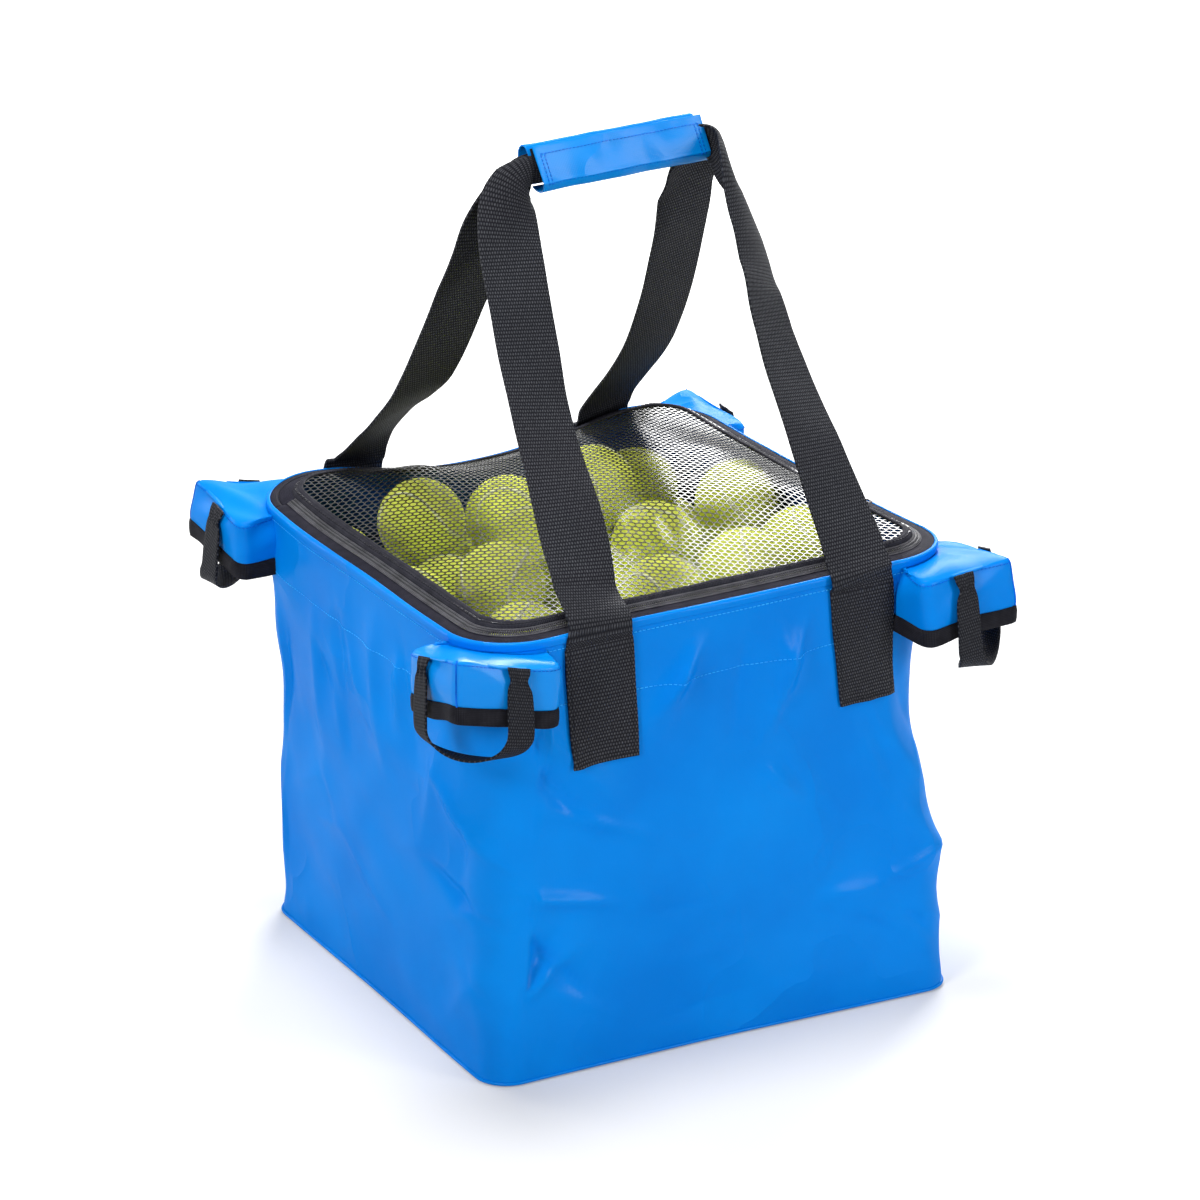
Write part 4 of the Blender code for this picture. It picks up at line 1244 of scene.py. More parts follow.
@dataclass
class BallPile:
    """The tennis balls: the ones that show keep their places, the rest settle round them."""

    radius: float = 0.0333
    total: int = 168
    steps: int = 420
    seed: int = 7
    shown: Rows = (
        (-0.098, 0.097, 0.331), (-0.0165, 0.1115, 0.316), (0.0456, 0.092, 0.336),
        (0.049, -0.001, 0.318), (-0.0985, -0.032, 0.320), (-0.150, 0.140, 0.290),
        (-0.152, 0.012, 0.296), (0.150, 0.049, 0.320), (0.0775, -0.086, 0.318),
        (0.152, -0.043, 0.310), (-0.030, 0.035, 0.318), (0.108, 0.135, 0.312),
        (-0.120, -0.110, 0.302), (0.002, -0.095, 0.312), (-0.060, -0.150, 0.296),
        (0.140, -0.125, 0.296), (0.030, -0.154, 0.292),
    )
    part: float = 0.32
    sink: float = 0.0006
    creep: float = 0.0001
    seen_above: float = 0.225
    highest: float = 0.288
    corner_play: float = 0.012
    corner_room: float = 0.045
    wall_room: float = 0.004
    drawn_in: float = 0.972
    centres: Array = field(init=False)

    def settle(self) -> None:
        """Pushes the balls apart inside the walls until they lie on one another."""
        rng = np.random.default_rng(self.seed)
        fixed = np.array(self.shown)
        loose = rng.uniform((-0.15, -0.15, 0.034), (0.15, 0.15, 0.28), (self.total - len(fixed), 3))
        c = np.vstack([fixed, loose])
        n = len(fixed)
        for step in range(self.steps):
            gap = c[:, None] - c[None]
            distance = np.linalg.norm(gap, axis=-1) + np.eye(len(c))
            close = np.clip(2 * self.radius - distance, 0, None)
            np.fill_diagonal(close, 0.0)
            push = (gap / distance[..., None] * close[..., None]).sum(1) * self.part
            c[n:] += push[n:]
            c[:n] += push[:n] * 0.10
            c[:n] += (fixed - c[:n]) * 0.30
            c[n:, 2] -= self.sink if step < self.steps * 0.7 else self.creep
            room = FORM.half - self.wall_room - self.radius
            c[:, :2] = np.clip(c[:, :2], -room, room)
            inner = FORM.half - self.corner_room
            over = np.clip(np.abs(c[:, :2]) - inner, 0, None)
            reach = np.linalg.norm(over, axis=1)
            far = reach > self.corner_play
            scale = np.ones(len(c))
            scale[far] = self.corner_play / reach[far]
            held = np.minimum(np.abs(c[:, :2]), inner) + over * scale[:, None]
            c[:, :2] = np.sign(c[:, :2]) * held
            c[:, 2] = np.maximum(c[:, 2], self.radius + 0.002)
            c[n:, 2] = np.minimum(c[n:, 2], self.highest)
        c[n:, :2] = (c[n:, :2] + (DRAPE.move(c[n:]) - c[n:])[:, :2]) * self.drawn_in
        self.centres = c

    def tops(self) -> Array:
        """Centres of the balls that can be seen or that the net can touch."""
        return self.centres[self.centres[:, 2] > self.seen_above]

    def build(self) -> None:
        """Builds the balls that show, their seams, and the plainer ones below."""
        rng = np.random.default_rng(self.seed + 1)
        upper = self.centres[:, 2] > self.seen_above
        for name, chosen, detail in (("balls_upper", upper, 4), ("balls_lower", ~upper, 2)):
            bm = bmesh.new()
            for centre in self.centres[chosen]:
                spot = Matrix.Translation(Vector(centre))
                bmesh.ops.create_icosphere(bm, subdivisions=detail, radius=self.radius, matrix=spot)
            dress(as_object(name, bm), FELT, None, "bag")
        bm = bmesh.new()
        s = np.linspace(0, 2 * math.pi, 72, endpoint=False)
        x = 0.75 * np.cos(s) + 0.25 * np.cos(3 * s)
        y = 0.75 * np.sin(s) - 0.25 * np.sin(3 * s)
        seam = unit(np.stack([x, y, 0.866 * np.sin(2 * s)], -1))
        for centre in self.centres[upper]:
            turn = Matrix(np.linalg.qr(rng.normal(size=(3, 3)))[0].tolist())
            line = seam @ np.array(turn).T * (self.radius - 0.0004) + centre
            tube(bm, line, 0.0013, 6, True)
        dress(as_object("ball_seams", bm), BALL_SEAM, None, "bag")


@dataclass
class LidNet:
    """The knitted net of the lid, which lies over the balls.

    The loose net passes through folds: points (x, y, height over the binding).
    """

    pile: BallPile
    across: float = 0.0090
    along: float = 0.0060
    strand: float = 0.00045
    thickness: float = 0.00042
    edge: float = 0.0238
    cells: int = 150
    clear: float = 0.0014
    lift: float = 0.0012
    corner: float = 0.020
    margin: float = 0.016
    wrinkle: float = 0.0009
    smoothing: int = 5
    folds: Rows = (
        (0.030, -0.066, 0.0225), (0.070, -0.066, 0.0198), (0.110, -0.066, 0.0170),
        (0.030, -0.020, 0.0240), (0.075, -0.020, 0.0210), (0.120, -0.020, 0.0178),
        (0.030, 0.030, 0.0248), (0.075, 0.030, 0.0220), (0.120, 0.040, 0.0170),
        (0.060, 0.070, 0.0200), (0.110, 0.085, 0.0140), (-0.030, -0.100, 0.0095),
        (0.040, -0.097, 0.0088), (0.105, -0.096, 0.0070), (-0.060, -0.125, 0.0060),
        (0.000, -0.135, 0.0066), (0.060, -0.135, 0.0050), (0.115, -0.132, 0.0032),
        (-0.020, -0.070, 0.0180), (-0.020, 0.000, 0.0215), (-0.020, 0.070, 0.0185),
        (0.000, 0.122, 0.0145), (-0.070, -0.060, 0.0110), (-0.070, 0.030, 0.0175),
        (-0.075, 0.085, 0.0190), (-0.115, -0.040, 0.0075), (-0.115, 0.040, 0.0100),
        (-0.085, 0.122, 0.0205), (-0.112, 0.116, 0.0165), (-0.044, 0.122, 0.0090),
        (0.055, 0.122, 0.0150), (0.095, 0.126, 0.0110), (-0.105, -0.105, 0.0055),
    )

    def draped(self, x: Array, y: Array, reach: float) -> Array:
        """Height of the loose net over its binding: a smooth field through the points in folds.

        Args:
            x: grid of plan coordinates.
            y: grid of plan coordinates.
            reach: where the net meets its binding.

        Returns:
            The heights on the grid.
        """
        edge = [
            (reach * a, reach * b, 0.0)
            for k in np.linspace(-1, 1, 13)
            for a, b in ((k, 1), (k, -1), (1, k), (-1, k))
        ]
        p = np.array(list(self.folds) + edge)
        gap = np.linalg.norm(p[:, None, :2] - p[None, :, :2], axis=-1)
        weights = np.linalg.solve(gap + np.eye(len(p)) * 1e-4, p[:, 2])
        square = (x[..., None] - p[:, 0]) ** 2 + (y[..., None] - p[:, 1]) ** 2
        return np.sqrt(square + 0.008**2) @ weights

    def membrane(self) -> tuple[Array, Array]:
        """Height of the net over the opening: the loose net, lifted where balls touch it.

        Returns:
            The grid's coordinates and the heights on it.
        """
        reach = FORM.half - self.edge
        xs = np.linspace(-reach, reach, self.cells)
        x, y = np.meshgrid(xs, xs, indexing="ij")
        rim = float(FORM.rise(np.array(self.edge))) + self.lift
        r = self.corner
        over = np.clip(np.abs(np.stack([x, y])) - (reach - r), 0, None)
        inside = np.linalg.norm(over, axis=0) < r
        inside[[0, -1], :] = False
        inside[:, [0, -1]] = False
        tops = np.full_like(x, -1.0)
        centres = self.pile.tops()
        nominal = centres - (DRAPE.move(centres) - centres)
        for cx, cy, cz in nominal:
            flat = self.pile.radius**2 - (x - cx) ** 2 - (y - cy) ** 2
            cap = np.where(flat > 0, cz + np.sqrt(np.clip(flat, 0, None)) + self.clear, -1.0)
            tops = np.maximum(tops, cap)
        side = np.clip((reach - np.maximum(np.abs(x), np.abs(y))) / self.margin, 0, 1)
        front = np.exp(-(((y + 0.085 - 0.1 * x) / 0.022) ** 2))
        left = np.clip(-x / 0.06, 0, 1)
        wrinkle = np.sin(x * 150.0 - y * 95.0 + 5.0 * np.sin(x * 31.0)) * front
        wrinkle += 0.3 * np.sin(x * 75.0 + y * 210.0 + 3.0 * np.sin(y * 22.0)) * left
        h = rim + np.clip(self.draped(x, y, reach), 0.0, None) + self.wrinkle * wrinkle * side
        h = np.where(inside, np.maximum(h, tops), rim)
        for _ in range(self.smoothing):
            beside = np.roll(h, 1, 0) + np.roll(h, -1, 0) + np.roll(h, 1, 1) + np.roll(h, -1, 1)
            h = np.where(inside, beside / 4, rim)
        return xs, h

    def build(self) -> None:
        """Builds the hexagonal mesh and lays it on the membrane."""
        xs, heights = self.membrane()
        reach = FORM.half - self.edge + 0.002
        r = 0.021
        bm = bmesh.new()
        corner = Matrix.Diagonal((self.across / 2 / 1.5, self.along / math.sqrt(3), 1.0, 1.0))
        cell = corner @ Matrix.Rotation(math.pi / 3, 4, "Z")
        columns = int(reach / (self.across / 2)) + 1
        rows = int(reach / self.along) + 2
        for i in range(-columns, columns + 1):
            for j in range(-rows, rows + 1):
                x = i * self.across / 2
                y = (j + 0.5 * (i % 2)) * self.along
                ox, oy = max(abs(x) - (reach - r), 0), max(abs(y) - (reach - r), 0)
                if math.hypot(ox, oy) > r - 0.001:
                    continue
                spot = Matrix.Translation((x, y, 0)) @ cell
                bmesh.ops.create_circle(bm, cap_ends=True, segments=6, radius=1.0, matrix=spot)
        bmesh.ops.remove_doubles(bm, verts=bm.verts, dist=0.0003)
        holes = bmesh.ops.inset_individual(
            bm, faces=bm.faces[:], thickness=self.strand, use_even_offset=True
        )
        ring = set(holes["faces"])
        open_faces = [face for face in bm.faces if face not in ring]
        bmesh.ops.delete(bm, geom=open_faces, context="FACES_ONLY")
        co = np.array([vertex.co[:] for vertex in bm.verts])
        co[:, 2] = bilinear(xs, heights, co[:, 0], co[:, 1])
        layer = bm.loops.layers.uv.new("cloth")
        for face in bm.faces:
            for loop in face.loops:
                loop[layer].uv = loop.vert.co[:2]
        for vertex, point in zip(bm.verts, DRAPE.move(co)):
            vertex.co = point
        bmesh.ops.recalc_face_normals(bm, faces=bm.faces)
        if sum(face.normal.z for face in bm.faces) < 0:
            bmesh.ops.reverse_faces(bm, faces=bm.faces)
        net = as_object("lid_net_mesh", bm, smooth=False)
        thicken(net, self.thickness, 0.0)
        dress(net, NET, Slot.NET, "lid", ("lid_net",))


def bilinear(xs: Array, grid: Array, x: Array, y: Array) -> Array:
    """Reads a square grid of heights between its points.

    Args:
        xs: the coordinates of both of its sides.
        grid: the heights, by x and then y.
        x: where to read.
        y: where to read.

    Returns:
        The heights there.
    """
    last = len(xs) - 1
    step = xs[1] - xs[0]
    fx = np.clip((x - xs[0]) / step, 0, last - 1e-6)
    fy = np.clip((y - xs[0]) / step, 0, last - 1e-6)
    i, j = fx.astype(int), fy.astype(int)
    a, b = fx - i, fy - j
    low = grid[i, j] * (1 - a) + grid[i + 1, j] * a
    high = grid[i, j + 1] * (1 - a) + grid[i + 1, j + 1] * a
    return low * (1 - b) + high * b


@dataclass
class Strap:
    """One carrying handle: a web sewn to the wall, led up, folded through the grip and down.

    Rows of a leg are (height, distance from the middle plane, twist in degrees); rows of a turn are
    (x, y, z, twist, fold); rows of the grip add the outward direction to a point and a fold.
    """

    name: str
    way: int
    left: Rows
    right: Rows
    left_rim: Rows
    right_rim: Rows
    left_turn: Rows
    grip: Rows
    right_turn: Rows
    slants: tuple[float, float] = (0.0, 0.0)
    top_x: tuple[float, float] = (-0.078, 0.085)
    width: float = 0.050
    thickness: float = 0.0018
    heights: tuple[float, ...] = (0.244, 0.262, 0.281, 0.300, 0.318, 0.332, 0.341)
    rim: float = 0.350
    level: float = 0.627
    spacing: float = 0.107
    stand: float = 0.0017
    loose: float = 0.345
    ease: float = 0.006
    curl: float = 1.9
    columns: int = 620
    rows: int = 17
    seam_edge: float = 0.003
    seam_ends: tuple[float, float] = (0.004, 0.092)
    shell: BagShell = field(default_factory=BagShell)

    @property
    def wall(self) -> int:
        """The wall that the handle is sewn to."""
        return 3 if self.way < 0 else 1

    def facing(self, twist: float) -> tuple[float, float, float]:
        """The web's outward direction when it is turned about its length."""
        angle = math.radians(twist)
        return (-self.way * math.sin(angle), self.way * math.cos(angle), 0.0)

    def leg(self, side: int) -> list[tuple[float, ...]]:
        """Stations of one leg from its sewn end to the grip.

        Each is the point, the outward direction, the fold from 0 to 1, the height on the wall and
        the distance along the wall.

        Args:
            side: -1 for the left leg, 1 for the right one.

        Returns:
            The stations.
        """
        if side < 0:
            rows, edge, turn = self.left, self.left_rim, self.left_turn
        else:
            rows, edge, turn = self.right, self.right_rim, self.right_turn
        slant, start, end = self.slants[side > 0], self.spacing * side, self.top_x[side > 0]
        made = []
        for z in self.heights:
            along = start + slant * (self.rim - z)
            t = np.array([FORM.place_of(self.wall, -self.way * along)])
            point = self.shell.surface(t, np.array([z]), self.stand)[0]
            made.append((*point, *self.facing(0.0), 0.0, z, along))
        kept = (self.heights[-1], along)
        for point in edge:
            made.append((*point, *self.facing(0.0), 0.0, *kept))
        for z, reach, twist in rows:
            x = start + (end - start) * (z - self.rim) / (self.level - self.rim)
            made.append((x, self.way * reach, z, *self.facing(twist), 0.0, *kept))
        for x, y, z, twist, fold in turn:
            made.append((x, y, z, *self.facing(twist), fold, *kept))
        return made

    def build(self) -> None:
        """Builds the web, with its sewn ends on the bag and the rest on the handle."""
        middle = [(*station, self.heights[-1], 0.0) for station in self.grip]
        path = spline(self.leg(-1) + middle + self.leg(1)[::-1], self.columns)
        centre, fold = path[:, :3], np.clip(path[:, 6], 0, 1)
        along = unit(np.gradient(centre, axis=0))
        normal = unit(path[:, 3:6])
        across = unit(np.cross(along, normal))
        normal = np.cross(across, along)
        s = run_lengths(centre)
        half = self.width / 2
        theta = np.maximum(fold * self.curl, 1e-3)
        squeeze = 1.0 - (0.22 + 0.25 * np.abs(normal[:, 2])) * np.clip((fold - 0.8) / 0.2, 0, 1)
        radius = half / theta * squeeze
        sewn = np.clip((self.loose - np.maximum(centre[:, 2], path[:, 7])) / self.ease, 0, 1)
        reach = FORM.half - FORM.rim_radius
        to_t = FORM.straight * 0.5 / reach / FORM.walls
        heading = np.where(across[:, 0] > 0, 1.0, -1.0)

        def place(u: Array, v: Array) -> Array:
            k = whole(u)
            angle = theta[k] * v / half
            side = radius[k] * np.sin(angle)
            flatter = np.where(fold[k] > 0.02, 0.36 + 0.64 * (1 - fold[k]), 1.0)
            back = radius[k] * (1 - np.cos(angle)) * flatter
            sway = 0.0006 * np.sin(s[k] * 38.0 + v * 20.0) * np.clip(1 - 3 * fold[k], 0, 1)
            free = centre[k] + across[k] * side[:, None] - normal[k] * (back - sway)[:, None]
            t = FORM.place_of(self.wall, 0.0) - self.way * (path[k, 8] + heading[k] * v) * to_t
            flat = self.shell.surface(t, path[k, 7], self.stand)
            share = sewn[k][:, None]
            return flat * share + free * (1 - share)

        def cloth(u: Array, v: Array) -> Array:
            return np.stack([s[whole(u)], v], -1)

        columns, rows = np.arange(len(path)), np.linspace(-half, half, self.rows)
        web = sheet_object(self.name + "_strap", columns, rows, place, cloth)
        thicken(web, self.thickness, 0.0)
        soften(web, 0.0005)
        nodes = [self.name + part for part in ("_web_end_left", "_web_end_right", "_handle_web")]
        dress(web, WEB, Slot.WEBBING, None, nodes)
        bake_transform(web)
        self.stitches(place, s)

    def stitches(self, place: Place, s: Array) -> None:
        """The box of stitches that holds each sewn end."""
        bm = bmesh.new()
        side = self.width / 2 - self.seam_edge
        ends = np.linspace(-side, side, 24)
        for run in (s, s[-1] - s):
            near, far = (int(np.argmin(np.abs(run - at))) for at in self.seam_ends)
            k = np.arange(min(near, far), max(near, far) + 1)
            for v in (-side, side):
                self.row(bm, place, k, np.full(len(k), v))
            for level in (near, far):
                self.row(bm, place, np.full(len(ends), level), ends)
        dress(as_object(self.name + "_strap_stitches", bm), BLACK_THREAD, Slot.WEBBING, "bag")

    def row(self, bm: Mesh, place: Place, u: Array, v: Array) -> None:
        """One row of stitches on the web's outer face."""
        line = place(u.astype(float), v)
        bars(bm, line, rows_of((0, self.way, 0), len(line)), 0.0032, STRAP_STITCH, 0.0010)


@dataclass
class GripWrap:
    """The blue wrap that holds both handles together, closed by a hook strip."""

    left: float = -0.0540
    right: float = 0.0850
    tilt: float = 0.052
    level: float = 0.6265
    thickness: float = 0.0013
    columns: int = 60
    rows: int = 41
    front: Rows = (
        (-0.0062, 0.0168), (-0.0085, 0.0100), (-0.0115, 0.0010), (-0.0140, -0.0085),
        (-0.0142, -0.0098), (-0.0110, -0.0150), (-0.0060, -0.0176), (0.0000, -0.0176),
        (0.0040, -0.0160),
    )
    rear: Rows = (
        (0.0060, -0.0150), (0.0105, -0.0095), (0.0120, 0.0000), (0.0100, 0.0090), (0.0055, 0.0145),
        (0.0000, 0.0158), (-0.0030, 0.0120), (-0.0050, 0.0050),
    )
    strip: Rows = ((-0.0050, 0.0150), (-0.0068, 0.0090), (-0.0095, 0.0015))

    def band(
        self, name: str, section: Sequence[tuple[float, float]], left: float, right: float
    ) -> tuple[bpy.types.Object, Place]:
        """A sheet of a section along the grip, which tilts up to the right.

        Args:
            name: the piece's name.
            section: (y, z) points of it, from the grip's middle.
            left: where it begins along the grip.
            right: where it ends.

        Returns:
            The piece, and what places points on it.
        """
        line = spline([(0.0, y, z) for y, z in section], self.rows)
        depth = run_lengths(line)

        def place(u: Array, v: Array) -> Array:
            y, z = line[whole(v), 1], line[whole(v), 2]
            x = u - 0.19 * z
            middle = (self.left + self.right) / 2
            wave = 0.0005 * np.sin(u * 95.0 + z * 120.0) + 0.0003 * np.sin(u * 210.0 + 1.3)
            open_end = np.clip((self.left + 0.02 - u) / 0.02, 0, 1) ** 2
            swell = 1.0 + 0.15 * open_end
            return np.stack([x, y * swell + wave, self.level + z + self.tilt * (u - middle)], -1)

        def cloth(u: Array, v: Array) -> Array:
            return np.stack([u, depth[whole(v)]], -1)

        columns = np.linspace(left, right, self.columns)
        piece = sheet_object(name, columns, np.arange(self.rows), place, cloth)
        thicken(piece, self.thickness, 0.0)
        soften(piece, 0.0003)
        return piece, place

    def build(self) -> None:
        """Builds both halves of the wrap, the hook strip and the stitching."""
        left, right = self.left, self.right
        front, place = self.band("grip_wrap_face", self.front, left, right)
        # The wrap's face takes the lighter, painted-light copy of the blue cloth.
        dress(front, PAINTED_LIT_BLUE, Slot.COATED, "front_handle", ("grip_wrap_front",))
        rear, _ = self.band("grip_wrap_back", self.rear, left - 0.0025, right - 0.003)
        dress(rear, BLUE, Slot.COATED, "rear_handle", ("grip_wrap_rear",))
        strip, _ = self.band("grip_hook_layer", self.strip, left - 0.0012, right - 0.002)
        dress(strip, HOOK, Slot.HOOK, "front_handle", ("grip_hook_strip",))
        bm = bmesh.new()
        n = self.columns
        u, v = np.linspace(left + 0.004, right - 0.004, n), np.linspace(5, 23, n)
        rows = [place(u, np.full(n, row)) for row in (5.0, 23.0)]
        for x in (left + 0.0045, left + 0.0075, right - 0.0045, right - 0.0075):
            rows.append(place(np.full(n, x), v))
        for row in rows:
            bars(bm, row, rows_of((0, -1, 0.3), n), 0.0030, WRAP_STITCH, 0.0008)
        dress(as_object("grip_wrap_stitches", bm), DARK_THREAD, Slot.COATED, "front_handle")


# Directions that the photograph's right and up have in the model
RIGHT_MM = np.array([0.877, -0.481, 0.0])
UP_MM = np.array([0.164, 0.299, 0.940])


@dataclass
class Hood:
    """A corner hood: puffed top panel, soft side band, bound lower edge and its seams."""

    corner: Corner
    shifts: tuple[tuple[str, float, float], ...]
    puff: float = 0.0016
    reach: float = 0.032
    side: float = 0.080
    top: float = 0.344
    band: float = 0.038
    radius: float = 0.009
    fabric: float = 0.0012
    depth: float = 0.053
    belly: float = 0.003
    crease: float = 0.0014
    girth: float = 0.224
    columns: int = 121
    edge: Rows = (
        (0.0020, 0.0015), (0.0026, -0.0015), (0.0025, -0.0075), (0.0020, -0.0108),
        (0.0002, -0.0118), (-0.0020, -0.0106), (-0.0026, -0.0060), (-0.0024, 0.0012),
        (-0.0004, 0.0024),
    )
    drape: Drape = field(init=False)

    def __post_init__(self) -> None:
        """Solves how this hood hangs."""
        sx, sy = self.corner.value
        far, near = FORM.half + self.reach, FORM.half + self.reach - self.side
        spots = {
            "corner_top": (far, far, self.top), "corner_low": (far, far, self.top - self.depth),
            "face_top": (near, far, self.top), "face_low": (near, far, self.top - self.depth),
            "side_top": (far, near, self.top), "side_low": (far, near, self.top - self.depth),
        }
        more = []
        for name, right, up in self.shifts:
            x, y, z = spots[name]
            more.append(((sx * x, sy * y, z), tuple(RIGHT_MM * right + UP_MM * up)))
        self.drape = Drape(more)

    def outline(self, u: Array) -> Array:
        """Plan points of the side band, from the front or rear wall round to the side wall."""
        far, near, r = FORM.half + self.reach, FORM.half + self.reach - self.side, self.radius
        wall = FORM.half - 0.001
        stops = [(near, wall), (near, far - r)]
        for a in np.radians((157.5, 135, 112.5)):
            stops.append((near + r + r * math.cos(a), far - r + r * math.sin(a)))
        tip = far - 0.6 * r * 0.29
        blunt = far - r * 0.6
        stops += [(near + r, far), (blunt, far), (tip, tip), (far, blunt), (far, near + r)]
        for a in np.radians((-22.5, -45, -67.5)):
            stops.append((far - r + r * math.cos(a), near + r + r * math.sin(a)))
        stops += [(far - r, near), (wall, near)]
        line = np.array(stops)
        s = run_lengths(line)
        return np.stack([np.interp(u * s[-1], s, line[:, k]) for k in range(2)], -1)

    def root(self, u: Array) -> Array:
        """Plan points where the top panel meets the walls and the rim corner."""
        t = np.clip((u - 0.10) / 0.80, 0, 1)
        c, r = FORM.half - FORM.rim_radius, FORM.rim_radius - 0.001
        near = FORM.half + self.reach - self.side
        straight = c - near
        arc = r * math.pi / 2
        total = 2 * straight + arc
        s = t * total
        angle = np.clip((s - straight) / arc, 0, 1) * math.pi / 2
        x = np.where(s < straight, near + s, c + r * np.sin(angle))
        y = np.where(s > straight + arc, c - (s - straight - arc), c + r * np.cos(angle))
        return np.stack([x, y], -1)

    def signed(self, points: Array) -> Array:
        """Mirrors points to this hood's corner."""
        sx, sy = self.corner.value
        return points * np.array([sx, sy, 1.0])

    def place(self, u: Array, v: Array) -> Array:
        """Points of the hood: v runs 0 to 1 over the top, and on to 2 down the band."""
        outer, root = self.outline(u), self.root(u)
        over = np.clip(v, 0, 1)
        down = np.clip(v - 1, 0, 1)
        xy = root + (outer - root) * over[:, None]
        gap = np.linalg.norm(outer - root, axis=1)
        rise = self.puff * np.sin(math.pi * over**1.3) * np.clip(gap / 0.03, 0, 1.3)
        bulge = self.belly * np.sin(math.pi * np.clip(down, 0, 1)) ** 0.8
        middle = np.array([FORM.half + self.reach - self.side / 2] * 2)
        away = unit(xy - middle + 1e-9)
        crease = self.crease * np.sin(u * 19.0 + 5.0 * v) * np.sin(math.pi * np.clip(v / 2, 0, 1))
        xy = xy + away * (bulge + crease * (down > 0))[:, None]
        z = self.top + 0.0004 + rise - down * self.band + crease * (down <= 0)
        z = z - 0.0004 * np.exp(-(((v - 1.0) / 0.05) ** 2))
        return self.drape.move(self.signed(np.column_stack([xy, z])))

    def build(self) -> None:
        """Builds the hood's cloth, binding, seams and stitches."""
        sx, sy = self.corner.value
        label = self.corner.label
        flip = sx * sy > 0
        u = np.linspace(0, 1, self.columns)
        fold = [0.985, 0.995, 1.0, 1.006, 1.02]
        v = np.concatenate([np.linspace(0, 0.95, 14), fold, np.linspace(1.07, 2.0, 15)])
        cloth = laid(self.girth, 0.040)
        hood = sheet_object("hood_cloth_" + label, u, v, self.place, cloth, flip=not flip)
        thicken(hood, self.fabric, -1.0)
        # The front-left hood takes the lighter, painted-light copy of the blue cloth; the other
        # hoods take the plain one.
        finish = PAINTED_LIT_BLUE if self.corner is Corner.FRONT_LEFT else BLUE
        dress(hood, finish, Slot.COATED, "bag", ("hood_top_" + label, "hood_band_" + label))
        self.bind(u, flip)
        self.sew()

    def bind(self, u: Array, flip: bool) -> None:
        """The folded tape round the lower edge."""
        label = self.corner.label
        ring = np.array(self.edge + self.edge[:1])
        middle = self.signed(np.array([[FORM.half, FORM.half, 0.0]]))[0]

        def place(us: Array, vs: Array) -> Array:
            k, low = whole(vs), np.full_like(us, 2.0)
            edge = self.place(us, low)
            ahead, behind = (self.place(np.clip(us + step, 0, 1), low) for step in (0.004, -0.004))
            run = ahead - behind
            out = unit(np.column_stack([run[:, 1], -run[:, 0], np.zeros(len(us))]))
            out = out * np.where(((edge - middle) * out).sum(1) < 0, -1.0, 1.0)[:, None]
            stand = ring[k, 0] - self.fabric / 2 + 0.0004 * np.sin(us * 40.0)
            points = edge + out * stand[:, None]
            points[:, 2] += ring[k, 1] + 0.0006 * np.sin(us * 23.0 + 1.0)
            return points

        s = run_lengths(ring)

        def cloth(us: Array, vs: Array) -> Array:
            return np.stack([us * self.girth, s[whole(vs)]], -1)

        piece = sheet_object("hood_edge_" + label, u, np.arange(len(ring)), place, cloth, flip=flip)
        dress(piece, EDGE_BINDING, Slot.BINDING, "bag", ("hood_binding_" + label,))

    def sew(self) -> None:
        """The stitched seam round the top and the one down the outer corner."""
        bm = bmesh.new()
        middle = self.signed(np.array([[FORM.half, FORM.half, self.top - 0.03]]))[0]
        u = np.linspace(0.02, 0.98, 160)
        line = self.place(u, np.full_like(u, 1.06))
        bars(bm, line, line - middle, 0.0032, HOOD_STITCH, 0.0003)
        v = np.linspace(1.0, 2.0, 30)
        line = self.place(np.full_like(v, 0.5), v)
        tube(bm, line + unit(line - middle) * 0.0001, 0.0007, 6)
        dress(as_object("hood_seams_" + self.corner.label, bm), DARK_THREAD, Slot.COATED, "bag")


